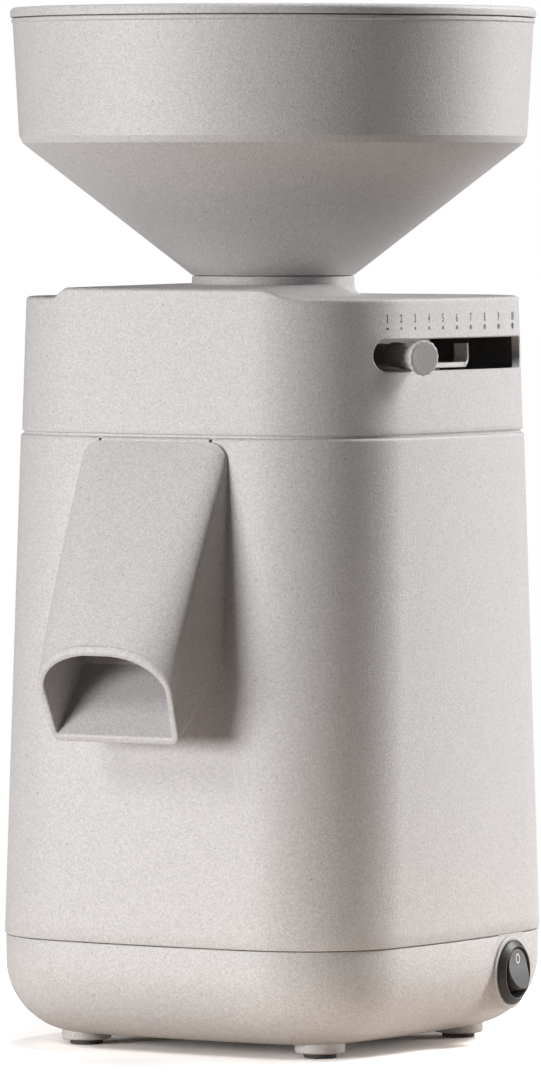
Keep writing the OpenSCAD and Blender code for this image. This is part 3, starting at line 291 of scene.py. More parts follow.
print("stage: materials")
finishes = {
    "housing_plastic": speckledPlastic("speckledHousing", (0.56, 0.543, 0.540), (0.15, 0.12, 0.10), 1.0, 0.47),
    "lever_plastic": speckledPlastic("paleLever", (0.62, 0.60, 0.59), (0.3, 0.26, 0.22), 0.5, 0.42),
    "black_plastic": grainedPlastic("darkPlastic", (0.035, 0.034, 0.034), 0.36, 3.4, 0.00008),
    "rubber": softRubber("footRubber", (0.05, 0.048, 0.046)),
    "steel": turnedMetal("platedSteel", (0.62, 0.62, 0.63), 0.26, 5.0),
    "aluminium": castAluminium("castAluminium", (0.74, 0.75, 0.77)),
    "iron": laminatedIron("motorIron", (0.16, 0.16, 0.17)),
    "copper": woundCopper("windingCopper", (0.62, 0.27, 0.12)),
    "felt": pressedFelt("felt", (0.44, 0.42, 0.39)),
    "millstone": boundGrit("stoneGrit", (0.78, 0.76, 0.72)),
}
scaleInk = printedInk("scaleInk", (0.012, 0.011, 0.011))
whitePrint = printedInk("whitePrint", (0.78, 0.77, 0.75))


class Shape:                             # points and faces that become one piece
    def __init__(self):
        self.points, self.faces = [], []

    def add(self, points, faces):
        start = len(self.points)
        self.points += [tuple(p) for p in points]
        self.faces += [[start + i for i in f] for f in faces]

    def loft(self, rings, loop=False, capFirst=False, capLast=False, openRings=False, keep=None):
        # quads between rings of equal length; keep(ring, step) drops a quad where it is False
        n = len(rings[0])
        faces = []
        for j in range(len(rings) if loop else len(rings) - 1):
            k = (j + 1) % len(rings)
            for i in range(n - 1 if openRings else n):
                if keep is None or keep(j, i):
                    faces.append([j * n + i, j * n + (i + 1) % n, k * n + (i + 1) % n, k * n + i])
        if capFirst:
            faces.append(list(range(n)))
        if capLast:
            faces.append([(len(rings) - 1) * n + i for i in range(n)])
        self.add([p for ring in rings for p in ring], faces)

    def turn(self, profile, steps=96, matrix=None, loop=True, ripple=None):
        # profile of (radius, height) turned about z, then moved by matrix; ripple(angle, index) is added to the radius
        rings = []
        for j, (r, z) in enumerate(profile):
            ring = []
            for a in circle(steps):
                rr = r + (ripple(a, j) if ripple and r > 0 else 0)
                p = Vector((rr * math.cos(a), rr * math.sin(a), z))
                ring.append(tuple(matrix @ p if matrix else p))
            rings.append(ring)
        self.loft(rings, loop=loop)


def rounded(corners, steps=4):
    # closed profile of (x, y, radius) with its corners rounded
    out, n = [], len(corners)
    for i, (x, y, r) in enumerate(corners):
        here = Vector((x, y))
        before, after = Vector(corners[i - 1][:2]), Vector(corners[(i + 1) % n][:2])
        a, b = (before - here), (after - here)
        if r <= 0 or a.length < 1e-6 or b.length < 1e-6:
            out.append((x, y))
            continue
        a.normalize(), b.normalize()
        half = a.angle(b) / 2
        if half > math.radians(88):
            out.append((x, y))
            continue
        reach = min(r / math.tan(half), 0.48 * (before - here).length, 0.48 * (after - here).length)
        r = reach * math.tan(half)
        centre = here + (a + b).normalized() * (r / math.sin(half))
        start, end = here + a * reach - centre, here + b * reach - centre
        angle = start.angle_signed(end)
        for k in range(steps + 1):
            t = -angle * k / steps
            c, s = math.cos(t), math.sin(t)
            out.append((centre.x + start.x * c - start.y * s, centre.y + start.x * s + start.y * c))
    return out


def addPiece(name, body, slotName, shape, nodes=(), material=None, sharp=40):
    # sharp: edges that turn by more degrees than this stay crisp
    mesh = bpy.data.meshes.new(name)
    mesh.from_pydata(place(shape.points), [], shape.faces)
    work = bmesh.new()
    work.from_mesh(mesh)
    bmesh.ops.remove_doubles(work, verts=work.verts, dist=1e-6)
    bmesh.ops.dissolve_degenerate(work, edges=work.edges, dist=1e-7)
    bmesh.ops.recalc_face_normals(work, faces=work.faces)
    for face in work.faces:
        face.smooth = True
    for edge in work.edges:
        edge.smooth = len(edge.link_faces) == 2 and edge.calc_face_angle(0.0) < math.radians(sharp)
    work.to_mesh(mesh)
    work.free()
    piece = bpy.data.objects.new(name, mesh)
    bpy.context.scene.collection.objects.link(piece)
    mesh.materials.append(material or finishes[slotName])
    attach(piece, body)
    if nodes:
        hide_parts(*nodes)


def cornerMid(a, b, r, bow):
    # centre of the corner's arc, which meets both bowed sides in one line
    dx, dy = a - bow, b - bow
    half = math.hypot(dx, dy) / 2
    rise = math.sqrt((bow - r) ** 2 - half * half)
    return dx / 2 - dy / (2 * half) * rise, dy / 2 - dx / (2 * half) * rise


def outline(azimuth, z, inset=0.0):
    # distance from the axis to the rounded-square outline, azimuth from +x towards +y
    f = housingFit
    t = (z - f["lowZ"]) / (f["topZ"] - f["lowZ"])
    a, b = mix(f["lowW"], f["topW"], t), mix(f["lowD"], f["topD"], t)
    return outlineOf(azimuth, a, b, inset)


def outlineOf(azimuth, a, b, inset):
    # bowed sides at half widths a and b, joined by rounded corners
    r, bow = housingFit["corner"], housingFit["bow"]
    dx, dy = abs(math.cos(azimuth)), abs(math.sin(azimuth))
    cx, cy = cornerMid(a, b, r, bow)
    side = Vector((cx - (a - bow), cy)).normalized()
    rear = Vector((cx, cy - (b - bow))).normalized()
    sx, sy = cx + side.x * (r - inset), cy + side.y * (r - inset)
    bx, by = cx + rear.x * (r - inset), cy + rear.y * (r - inset)
    if dy * sx <= dx * sy:
        centre, radius = (a - bow, 0.0), bow - inset
    elif dy * bx >= dx * by:
        centre, radius = (0.0, b - bow), bow - inset
    else:
        centre, radius = (cx, cy), r - inset
    along = dx * centre[0] + dy * centre[1]
    return along + math.sqrt(max(0.0, radius ** 2 - (centre[0] ** 2 + centre[1] ** 2 - along ** 2)))


def trayOutline(azimuth, inset):
    return outlineOf(azimuth, housingFit["lowW"], housingFit["lowD"], inset)


def atAzimuth(azimuth, r, z):
    return (r * math.cos(azimuth), r * math.sin(azimuth), z)


def evenAzimuths(count, extra=()):
    # directions at even steps along the outline, with extra ones let in
    looks, clear = 4000, 0.3             # directions tried, and the least gap to an extra one in steps
    fine = [2 * math.pi * i / looks - math.pi for i in range(looks + 1)]
    points = [Vector(atAzimuth(a, outline(a, housingFit["topZ"]), 0)) for a in fine]
    run = [0.0]
    for p, q in zip(points, points[1:]):
        run.append(run[-1] + (q - p).length)
    step = run[-1] / count
    found, k = [], 0
    for i in range(count):
        while run[k] < i * step:
            k += 1
        found.append(fine[k])
    gap = clear * 2 * math.pi / count
    kept = [a for a in found if all(abs(a - e) > gap for e in extra)]
    return sorted(kept + list(extra))


mainHousing = {"low": 38.8, "top": housingFit["topZ"], "lip": 213.4, "edge": 1.2, "wall": 3.0,
               "notchX": 22.5, "notchHalf": 0.6, "notchDrop": 2.0, "columns": 340,
               "holeHalf": 28.0, "holeLow": 134.5, "holeTop": 208.0}


def frontAzimuth(x, z=housingFit["topZ"]):
    # direction of the front face's point at x
    a = -math.pi / 2 + math.atan2(x, housingFit["topD"])
    for _ in range(12):
        r = outline(a, z)
        a += (x - r * math.cos(a)) / r
    return a


def buildMainHousing(m):
    nx, nh = m["notchX"], m["notchHalf"]
    sliver, notchLow = 0.04, m["top"] - m["notchDrop"]
    marks = [frontAzimuth(s * (nx + d)) for s in (-1, 1) for d in (-nh - sliver, -nh, nh, nh + sliver)]
    holeSides = [frontAzimuth(s * m["holeHalf"], 172) for s in (-1, 1)]
    azimuths = evenAzimuths(m["columns"], marks + holeSides)
    rows = [(m["low"], m["wall"]), (m["low"], 0.45), (m["low"] + 0.12, 0.2), (m["low"] + 0.45, 0.02)]
    rows += [(z, 0.0) for z in (44, 62, 84, 106, 128, m["holeLow"], 146, 162, 178, 194, m["holeTop"])]
    rows += [(notchLow - sliver, 0.0), (notchLow, 0.0), (m["top"] - m["edge"], 0.0)]
    for t in spread(0.3, math.pi / 2, 4):
        rows.append((m["top"] - m["edge"] * (1 - math.sin(t)), m["edge"] * (1 - math.cos(t))))
    rows += [(m["lip"], m["edge"]), (m["lip"], m["wall"])]
    rows += [(z, m["wall"]) for z in (m["holeTop"], 178, m["holeLow"], 84)]
    rings = []
    for z, inset in rows:
        ring = []
        for a in azimuths:
            r = outline(a, z, inset)
            x, y = r * math.cos(a), r * math.sin(a)
            if y < 0 and abs(abs(x) - nx) < nh + sliver / 2 and z >= notchLow and inset < m["edge"]:
                r = outline(a, z, m["edge"])
            ring.append(atAzimuth(a, r, z))
        rings.append(ring)
    first, last = holeSides[0] - 1e-6, holeSides[1] + 1e-6
    inHole = [first <= a < b <= last for a, b in zip(azimuths, azimuths[1:] + azimuths[:1])]

    def keep(j, i):
        if not inHole[i]:
            return True
        zs = sorted((rows[j][0], rows[(j + 1) % len(rows)][0]))
        return not (zs[0] >= m["holeLow"] - 0.01 and zs[1] <= m["holeTop"] + 0.01)

    shape = Shape()
    shape.loft(rings, loop=True, keep=keep)
    addPiece("mainHousing", "housing", "housing_plastic", shape, ["main_housing"], sharp=50)


print("stage: main housing")
buildMainHousing(mainHousing)


baseTray = {"gap": 4.7, "top": 38.5, "edge": 25.0, "wall": 3.0, "inset": 0.5, "coverR": 38.2, "coverLedge": 33.0,
            "coverT": 2.1, "soft": 0.3, "bossR": 8.65, "bossDrop": 3.0, "bossUp": 2.4, "footX": 48.0, "footY": 45.5,
            "footHole": 5.3, "columns": 340}
switchFit = {"y": 29.0, "z": 25.3, "hole": 9.7, "pad": 12.8, "rim": 0.7, "fillet": 2.2, "out": 0.3, "opening": 1.4}
inletFit = {"x": -25.0, "z": 23.0, "hole": 6.0, "pad": 10.0, "rim": 0.7, "fillet": 1.6, "out": 0.3, "opening": 2.0}


def switchFrame():
    # x along the face towards the rear, y up, z out of the side
    turn = math.asin(switchFit["y"] / housingFit["bow"])
    x = housingFit["lowW"] - housingFit["bow"] * (1 - math.cos(turn)) + switchFit["out"]
    upright = Matrix(((0, 0, 1, 0), (1, 0, 0, 0), (0, 1, 0, 0), (0, 0, 0, 1)))
    return Matrix.Translation((x, switchFit["y"], switchFit["z"])) @ Matrix.Rotation(turn, 4, "Z") @ upright


def inletFrame():
    y = housingFit["lowD"] + inletFit["out"]
    return Matrix.Translation((inletFit["x"], y, inletFit["z"])) @ Matrix.Rotation(math.radians(-90), 4, "X")


def trayInset(z):
    # how far the tray's rounded edge draws in at a height
    m = baseTray
    rise = (z - m["gap"]) / m["edge"]
    if rise >= 1:
        return m["inset"]
    c = 1 - max(0.0, rise)
    return m["inset"] + m["edge"] * (1 - math.sqrt(max(0.0, 1 - c * c)))


def trayDepth(matrix, u, v):
    # distance of the tray's surface behind the pad's plane at (u, v) of the pad's frame
    low, high = -45.0, 6.0
    for _ in range(30):
        w = (low + high) / 2
        p = matrix @ Vector((u, v, w))
        if math.hypot(p.x, p.y) > trayOutline(math.atan2(p.y, p.x), trayInset(max(p.z, baseTray["gap"] + 0.02))):
            high = w
        else:
            low = w
    return (low + high) / 2


def addPad(shape, matrix, m):
    # round flat pad on the tray's side, with a hole and a concave fillet down onto the tray
    top, fillet, skirt = m["pad"], m["fillet"], 1.2
    turns = circle(120)
    flat = [(m["hole"], -3.0), (m["hole"], -0.2), (m["hole"] + 0.2, 0.0)]
    rim = [(top - m["rim"] * (1 - math.sin(t)), -m["rim"] * (1 - math.cos(t))) for t in spread(0, math.pi / 2, 5)]
    rings = [[(r * math.cos(a), r * math.sin(a), w) for a in turns] for r, w in flat + rim]
    toes, ends = [[trayDepth(matrix, r * math.cos(a), r * math.sin(a)) for a in turns]
                  for r in (top + fillet, top + fillet + skirt)]
    steps = 7
    for k in range(1, steps + 1):
        t = k / steps
        ahead = min(1.0, t * 3)
        across, down = 1 - math.cos(t * math.pi / 2), math.sin(t * math.pi / 2)
        ring = []
        for a, toe in zip(turns, toes):
            side = -m["rim"]
            low = min(toe, side)
            f = min(1.0, (side - low) / fillet) * fillet
            drop = max(0.0, side - low - f)
            w = side - drop * ahead - f * down if side > low else toe
            r = top + 0.15 * ahead + fillet * across
            w = min(w, side) if toe < side else mix(side, toe, t)
            ring.append((r * math.cos(a), r * math.sin(a), w + 0.03))
        rings.append(ring)
    r = top + fillet + skirt
    rings.append([(r * math.cos(a), r * math.sin(a), w - 0.05) for a, w in zip(turns, ends)])
    shape.loft([[tuple(matrix @ Vector(p)) for p in ring] for ring in rings])


def buildBaseTray(m):
    azimuths = evenAzimuths(m["columns"])
    innerR = m["edge"] - m["wall"]
    rings = []

    def ring(z, inset):
        rings.append([atAzimuth(a, trayOutline(a, inset), z) for a in azimuths])
    for z, r in ((m["wall"], m["coverLedge"]), (m["coverT"], m["coverLedge"]), (m["coverT"], m["coverR"]),
                 (m["soft"], m["coverR"]), (0, m["coverR"] + m["soft"])):
        rings.append([atAzimuth(a, r, m["gap"] + z) for a in azimuths])
    for t in spread(0, math.pi / 2, 30):
        ring(m["gap"] + m["edge"] * (1 - math.cos(t)), m["inset"] + m["edge"] * (1 - math.sin(t)))
    ring(m["top"] - 0.35, m["inset"])
    ring(m["top"] - 0.1, m["inset"] + 0.1)
    ring(m["top"], m["inset"] + 0.35)
    ring(m["top"], m["wall"])
    for t in spread(math.pi / 2, 0, 8):
        ring(m["gap"] + m["wall"] + innerR * (1 - math.cos(t)), m["wall"] + m["inset"] + innerR * (1 - math.sin(t)))
    pads = [(seat.inverted(), fit["pad"] - fit["opening"])
            for seat, fit in ((switchFrame(), switchFit), (inletFrame(), inletFit))]

    def keep(j, i):
        k, n = (j + 1) % len(rings), len(azimuths)
        middle = sum((Vector(rings[a][b % n]) for a in (j, k) for b in (i, i + 1)), Vector()) / 4
        for inverse, reach in pads:
            p = inverse @ middle
            if -15 < p.z < 3 and math.hypot(p.x, p.y) < reach:
                return False
        return True

    shape = Shape()
    shape.loft(rings, loop=True, keep=keep)
    addPad(shape, switchFrame(), switchFit)
    addPad(shape, inletFrame(), inletFit)
    low, high, hole = m["gap"] - m["bossDrop"], m["gap"] + m["bossUp"], m["footHole"]
    for sx in (-1, 1):
        for sy in (-1, 1):
            boss = rounded([(hole, low, 0.25), (m["bossR"], low, 0.8), (m["bossR"], high, 0), (hole, high, 0)])
            shape.turn(boss, 72, Matrix.Translation((sx * m["footX"], sy * m["footY"], 0)))
    addPiece("baseTray", "housing", "housing_plastic", shape, ["base_tray"], sharp=48)


footFit = {"r": 5.65, "flangeR": 5.8, "flangeZ": 1.66, "stemR": 5.2, "top": 4.3, "dimpleR": 2.2, "dimpleRim": 0.4,
           "dimple": 0.5}


def buildFeet(m):
    f = footFit
    for name, sx, sy in (("front_left", -1, -1), ("front_right", 1, -1), ("rear_left", -1, 1), ("rear_right", 1, 1)):
        shape = Shape()
        foot = rounded([(0, 0, 0), (f["r"], 0, 0.5), (f["flangeR"], f["flangeZ"], 0.1), (f["stemR"], f["flangeZ"], 0.1),
                        (f["stemR"], f["top"], 0.2), (0, f["top"], 0)])
        dimple = [(0, f["dimple"]), (f["dimpleR"], f["dimple"]), (f["dimpleR"] + f["dimpleRim"], 0.0)]
        shape.turn(dimple + foot[1:], 72, Matrix.Translation((sx * m["footX"], sy * m["footY"], 0)), loop=False)
        label = "".join(part.capitalize() for part in name.split("_"))
        addPiece("foot" + label, "housing", "rubber", shape, ["foot_" + name])


print("stage: base")
buildBaseTray(baseTray)
buildFeet(baseTray)


topHousing = {"low": 213.4, "deck": 260.0, "wall": 3.0, "inset": 0.4, "edgeIn": 2.2, "edgeDown": 1.2, "collar": 28.3,
              "fillet": 4.0, "collarTop": 267.0, "bore": 24.6, "tubeR": 28.0, "tubeLow": 233.0, "tongueH": 3.2,
              "tongueRise": 1.2, "tongueHalf": 40.0, "flankRight": (8, 14), "flankLeft": (5, 7), "tongueEnd": 8.0,
              "guide": ((54.5, 240.5), (54.5, 257.2), (51.3, 257.2), (51.3, 240.5)), "columns": 340}
slotFit = {"low": 234.95, "height": 10.95, "from": -34.5, "to": 38.5, "chamfer": 0.4}


def tongue(x, y):
    # height of the raised tongue that runs from the collar to the front edge
    m = topHousing
    along = max(0.0, min(1.0, -y / housingFit["topD"]))
    half = mix(m["collar"], m["tongueHalf"], along)
    flank = mix(*(m["flankRight"] if x > 0 else m["flankLeft"]), along)
    h = mix(m["tongueH"] + m["tongueRise"], m["tongueH"], along)
    end = m["tongueEnd"]
    return h * smoothStep((half + flank - abs(x)) / flank) * smoothStep((end - y) / (2 * end))


def slotColumns(radius):
    # (azimuth, half height of the slot) from its front end to its rear end
    s = slotFit
    half = s["height"] / 2
    end = math.radians(half / (housingFit["lowW"] - 4) * 57.3)
    first, last = math.radians(s["from"]) + end, math.radians(s["to"]) - end
    ends = []
    for at, sign in ((first, -1), (last, 1)):
        reach = outline(at, s["low"] + half, topHousing["inset"])
        bend = spread(0, math.pi / 2, 14)
        ends.append([(at + sign * math.asin(radius * math.sin(t) / reach), radius * math.cos(t)) for t in bend])
    middle = [(a, radius) for a in spread(first, last, 60)[1:-1]]
    return ends[0][::-1] + middle + ends[1]


def buildTopHousing(m):
    s = slotFit
    half = s["height"] / 2
    mid = s["low"] + half
    slots = slotColumns(half + s["chamfer"])
    clear = 0.008
    a0, a1 = slots[0][0], slots[-1][0]
    columns = [(a, 0.0) for a in evenAzimuths(m["columns"]) if a < a0 - clear or a > a1 + clear] + slots
    columns.sort()
    outerEdge, innerFace = m["inset"] + m["edgeIn"], m["inset"] + m["wall"]

    def level(z, inset):
        return [atAzimuth(a, outline(a, z, inset), z) for a, _ in columns]

    def topZ(a, inset):
        r = outline(a, m["deck"], inset)
        return tongue(r * math.cos(a), r * math.sin(a))

    def wallRing(t, below, inset):
        # t runs up the wall below or above the slot
        ring = []
        for a, h in columns:
            low, high = (m["low"] + 0.5, mid - h) if below else (mid + h, m["deck"] - m["edgeDown"] + topZ(a, inset))
            z = mix(low, high, t)
            ring.append(atAzimuth(a, outline(a, z, inset), z))
        return ring

    shape = Shape()
    lower = [level(m["low"], innerFace), level(m["low"], m["inset"] + 0.5), level(m["low"] + 0.15, m["inset"] + 0.15)]
    lower += [wallRing(t, True, m["inset"]) for t in spread(0, 1, 12)]
    shape.loft(lower)
    upper = [wallRing(t, False, m["inset"]) for t in spread(0, 1, 10)]
    for t in spread(0, math.pi / 2, 8)[1:]:
        inset, z = m["inset"] + m["edgeIn"] * (1 - math.cos(t)), m["deck"] - m["edgeDown"] * (1 - math.sin(t))
        upper.append([atAzimuth(a, outline(a, m["deck"], inset), z + topZ(a, inset)) for a, _ in columns])
    toe = m["collar"] + m["fillet"]
    for share in spread(0, 1, 34)[1:]:
        ring = []
        for a, _ in columns:
            r = mix(outline(a, m["deck"], outerEdge), toe, share)
            ring.append(atAzimuth(a, r, m["deck"] + tongue(r * math.cos(a), r * math.sin(a))))
        upper.append(ring)
    for t in spread(0, math.pi / 2, 8)[1:]:
        r = toe - m["fillet"] * math.sin(t)
        rise = m["fillet"] * (1 - math.cos(t))
        left = 1 - rise / m["fillet"]
        upper.append([atAzimuth(a, r, m["deck"] + rise + max(0.0, tongue(r * math.cos(a), r * math.sin(a)) * left))
                      for a, _ in columns])
    collar, top = m["collar"], m["collarTop"]
    for r, z in ((collar, top - 0.6), (collar - 0.18, top - 0.18), (collar - 0.6, top), (m["bore"] + 0.4, top),
                 (m["bore"], top - 0.4), (m["bore"], m["tubeLow"]), (m["tubeR"], m["tubeLow"]),
                 (m["tubeR"], m["deck"] - m["wall"])):
        upper.append([atAzimuth(a, r, z) for a, _ in columns])
    under = m["deck"] - m["wall"]
    upper.append([atAzimuth(a, outline(a, m["deck"], innerFace), under) for a, _ in columns])
    # inner face of the wall, with the slot's inner mouth
    inner = slotColumns(half)
    innerAt = {i: v for i, v in zip([k for k, c in enumerate(columns) if a0 <= c[0] <= a1], inner)}

    def innerRing(t, below):
        ring = []
        for k, (a, _) in enumerate(columns):
            a, h = innerAt.get(k, (a, 0.0))
            low, high = (m["low"], mid - h) if below else (mid + h, under)
            z = mix(low, high, t)
            ring.append(atAzimuth(a, outline(a, z, innerFace), z))
        return ring

    shape.loft([innerRing(t, True) for t in spread(0, 1, 4)])
    shape.loft(upper)
    shape.loft([innerRing(t, False) for t in spread(0, 1, 3)])
    # chamfered rim and inside of the slot
    ids = sorted(innerAt)
    loops = []
    for inset, rim in ((m["inset"], True), (m["inset"] + s["chamfer"], False), (innerFace, False)):
        cols = [columns[k] if rim else innerAt[k] for k in ids]
        edge = [(a, mid - h) for a, h in cols] + [(a, mid + h) for a, h in cols[-2:0:-1]]
        loops.append([atAzimuth(a, outline(a, z, inset), z) for a, z in edge])
    shape.loft(loops)
    shape.turn(m["guide"], 96)           # guide for the adjusting ring, under the deck
    addPiece("topHousing", "housing", "housing_plastic", shape, ["top_housing"], sharp=38)


print("stage: top housing")
buildTopHousing(topHousing)


scalePrint = {"places": (-42.2, -35.36, -27.33, -19.01, -10.4, -1.47, 7.83, 17.53, 27.69, 38.86), "digitHeight": 2.85,
              "narrow": 0.62, "digitRise": 7.2, "dotRise": 3.7, "dotFrom": 0.9, "dotTo": 2.1, "lift": 0.05, "bold": 0.03}


def sideAzimuth(y, z):
    # direction of the right face's point at y
    a = math.atan2(y, housingFit["topW"] + 1)
    for _ in range(12):
        r = outline(a, z, topHousing["inset"])
        a += (y - r * math.sin(a)) / r
    return a


def onSide(y, z, lift):
    a = sideAzimuth(y, z)
    return atAzimuth(a, outline(a, z, topHousing["inset"]) + lift, z)


def buildScale(m):
    top = slotFit["low"] + slotFit["height"]
    dots, digits = Shape(), Shape()
    turns = circle(28)
    for k, y in enumerate(m["places"]):
        r = mix(m["dotFrom"], m["dotTo"], k / 9) / 2
        z = top + m["dotRise"]
        rim = [onSide(y + r * math.cos(a), z + r * math.sin(a), m["lift"]) for a in turns]
        dots.add(rim + [onSide(y, z, m["lift"])], [[i, (i + 1) % 28, 28] for i in range(28)])
        curve = bpy.data.curves.new("digit", "FONT")
        curve.body = str(k + 1)
        curve.size = 1.0
        curve.align_x = "CENTER"
        curve.offset = m["bold"]
        curve.resolution_u = 4
        holder = bpy.data.objects.new("digit", curve)
        bpy.context.scene.collection.objects.link(holder)
        bpy.context.view_layer.update()
        drawn = holder.to_mesh()
        points = [tuple(v.co) for v in drawn.vertices]
        faces = [list(f.vertices) for f in drawn.polygons]
        holder.to_mesh_clear()
        bpy.data.objects.remove(holder)
        bpy.data.curves.remove(curve)
        scale = m["digitHeight"] / max(p[1] for p in points)
        z0 = top + m["digitRise"] - m["digitHeight"] / 2
        digits.add([onSide(y + p[0] * scale * m["narrow"], z0 + p[1] * scale, m["lift"]) for p in points], faces)
    addPiece("scaleDots", "housing", "black_plastic", dots, material=scaleInk)
    addPiece("scaleDigits", "housing", "black_plastic", digits, material=scaleInk)


print("stage: scale")
buildScale(scalePrint)


spoutFit = {"rootHalf": 29.4, "mouthHalf": 27.2, "lowHalf": 26.0, "lowZ": 132.0, "topZ": 211.0, "reach": 112.0,
            "lipTop": 141.0, "lipLow": 108.8, "lean": 12.4, "wall": 2.6, "backY": -66.0, "lowR": 3.4, "cornerX": 24.0,
            "cornerY": 16.0, "rootCorner": 7.0, "edge": 0.75, "run": 33.0, "rampTop": 172.5, "rampIn": 2.2}


def frontY(z):
    f = housingFit
    return -mix(f["lowD"], f["topD"], (z - f["lowZ"]) / (f["topZ"] - f["lowZ"]))


def spoutRing(t, inset):
    # one section of the spout, from the housing's face at 0 to the mouth's plane at 1
    m = spoutFit
    low = mixPoint((frontY(m["lowZ"]), m["lowZ"]), (m["lean"] - m["reach"], m["lipLow"]), t)
    high = mixPoint((frontY(m["topZ"]), m["topZ"]), (-m["reach"], m["lipTop"]), t)
    h = math.hypot(high[0] - low[0], high[1] - low[1])
    w0, w1 = mix(m["rootHalf"], m["lowHalf"], t), mix(m["rootHalf"], m["mouthHalf"], t)
    rx, ry = mix(m["rootCorner"], m["cornerX"], t), mix(m["rootCorner"], m["cornerY"], t)
    lowR = m["lowR"]
    bend = lowR - inset
    side = [(x, inset) for x in spread(0, w0 - lowR, 6)[1:-1]]
    side += [(w0 - lowR + bend * math.cos(a), lowR + bend * math.sin(a)) for a in spread(-math.pi / 2, 0, 8)]
    foot, brow = side[-1], (w1 - inset, h - ry)
    side += [mixPoint(foot, brow, k / 8) for k in range(1, 8)]
    side += [(w1 - rx + (rx - inset) * math.cos(a), h - ry + (ry - inset) * math.sin(a))
             for a in spread(0, math.pi / 2, 26)]
    side += [(x, h - inset) for x in spread(w1 - rx, 0, 5)[1:-1]]
    flat = [(0, inset)] + side + [(0, h - inset)] + [(-x, z) for x, z in side[::-1]]
    return [(x, *mixPoint(low, high, up / h)) for x, up in flat]


def buildSpout(m):
    mouth = 1 - 0.02                      # where the lip's rounding begins
    outer = [[(x, m["backY"], z) for x, _, z in spoutRing(0, 0)]] + [spoutRing(t, 0) for t in spread(0, mouth, 26)]
    inner = [spoutRing(t, m["wall"]) for t in spread(mouth, 0, 26)]
    inner.append([(x, m["backY"], z) for x, _, z in spoutRing(0, m["wall"])])
    lip = []
    bend = spread(0, math.pi / 2, 4)
    for start, sign, order in ((0, 1, bend), (m["wall"], -1, spread(math.pi / 2, 0, 4))):
        for t in order:
            inset = start + sign * m["edge"] * (1 - math.cos(t))
            lip.append(spoutRing(1 - m["edge"] / m["run"] * (1 - math.sin(t)), inset))
    shape = Shape()
    shape.loft(outer + lip + inner, loop=True)
    # ramp that closes the back of the spout below the chamber's outlet
    side = m["rootHalf"] - m["wall"] / 2
    face, back, low = frontY(m["lowZ"]), m["backY"], m["lowZ"] + m["wall"] / 2
    yz = [(face, low), (face, m["lowZ"] + m["wall"] + 1), (back - m["rampIn"], m["rampTop"]), (back, m["rampTop"]),
          (back, low)]
    shape.loft([[(x, y, z) for y, z in yz] for x in (-side, side)], capFirst=True, capLast=True)
    addPiece("spoutChute", "housing", "housing_plastic", shape, ["spout"], sharp=42)


print("stage: spout")
buildSpout(spoutFit)


switchParts = {"bezelR": 11.2, "bezelT": 2.4, "hole": 8.7, "bezelDepth": 4.0, "bezelStep": 1.5, "bezelSlope": 1.9,
               "rockerR": 7.2, "pivot": 3.2, "tilt": 12.0, "facet": 8.0, "crown": 0.3, "softR": 0.45, "rockerLow": 4.0,
               "ringX": 1.5, "ringY": 1.7, "ringStroke": 0.42, "ringAt": 3.6}


def buildSwitch(m):
    seat = switchFrame()
    bezel = Shape()
    r, deep, out = m["bezelR"], -m["bezelDepth"], m["bezelT"]
    profile = rounded([(m["hole"], deep, 0), (r - m["bezelStep"], deep, 0), (r - m["bezelStep"], 0.02, 0), (r, 0.02, 0.1),
                       (r, 0.8, 0.35), (r - m["bezelSlope"], out, 0.3), (m["hole"] + 0.25, out, 0.25),
                       (m["hole"], out - 0.4, 0.1)])
    bezel.turn(profile, 120, seat)
    addPiece("switchBezel", "housing", "black_plastic", bezel, ["switch_bezel"])
    rocker = Shape()
    tilt = seat @ Matrix.Translation((0, 0, -m["pivot"])) @ Matrix.Rotation(math.radians(-m["tilt"]), 4, "X")
    centre = m["pivot"] + m["bezelT"] + m["crown"]
    soft = m["softR"]

    def faceHeight(y):
        # two facets that run into each other in a soft scoop
        slope = math.tan(math.radians(m["facet"]))
        return centre + slope * (math.sqrt(y * y + 2.2) - 1.2)

    turns, tip = circle(96), 0.001
    rings = []
    for r in (tip, 1, 2, 3, 4, 5, 5.8, 6.4, 6.75, 6.95, 7.08, 7.16, m["rockerR"]):
        edge = max(0.0, r - m["rockerR"] + soft) / soft
        drop = soft * (1 - math.sqrt(max(0.0, 1 - edge * edge)))
        rings.append([(r * math.cos(a), r * math.sin(a), faceHeight(r * math.sin(a)) - drop) for a in turns])
    for z in (2.0, 0.0, 0.4 - m["rockerLow"], -m["rockerLow"]):
        rings.append([(p[0], p[1], z) for p in rings[-1]])
    rings.append([(tip * math.cos(a), tip * math.sin(a), -m["rockerLow"]) for a in turns])
    rocker.loft([[tuple(tilt @ Vector(p)) for p in ring] for ring in rings])
    addPiece("switchRocker", "rocker", "black_plastic", rocker, ["switch_rocker"])
    mark = Shape()
    loops = []
    for grow in (0.0, m["ringStroke"]):
        loop = []
        for a in circle(40):
            x, y = (m["ringX"] - grow) * math.cos(a), m["ringAt"] + (m["ringY"] - grow) * math.sin(a)
            loop.append(tuple(tilt @ Vector((x, y, faceHeight(y) + 0.04))))
        loops.append(loop)
    mark.loft(loops)
    addPiece("switchMark", "rocker", "black_plastic", mark, material=whitePrint)


def buildInlet(m):
    shape = Shape()
    r, bore, deep, out = m["hole"] - 0.05, 3.6, -12, 2.4
    profile = rounded([(bore, deep, 0.3), (r, deep, 0.2), (r, 0, 0), (r + 2.4, 0, 0.1), (r + 1.6, out, 0.5),
                       (bore, out, 0.5)])
    shape.turn(profile, 72, inletFrame())
    addPiece("inletBush", "housing", "black_plastic", shape, ["cord_inlet"])


print("stage: switch and inlet")
buildSwitch(switchParts)
buildInlet(inletFit)


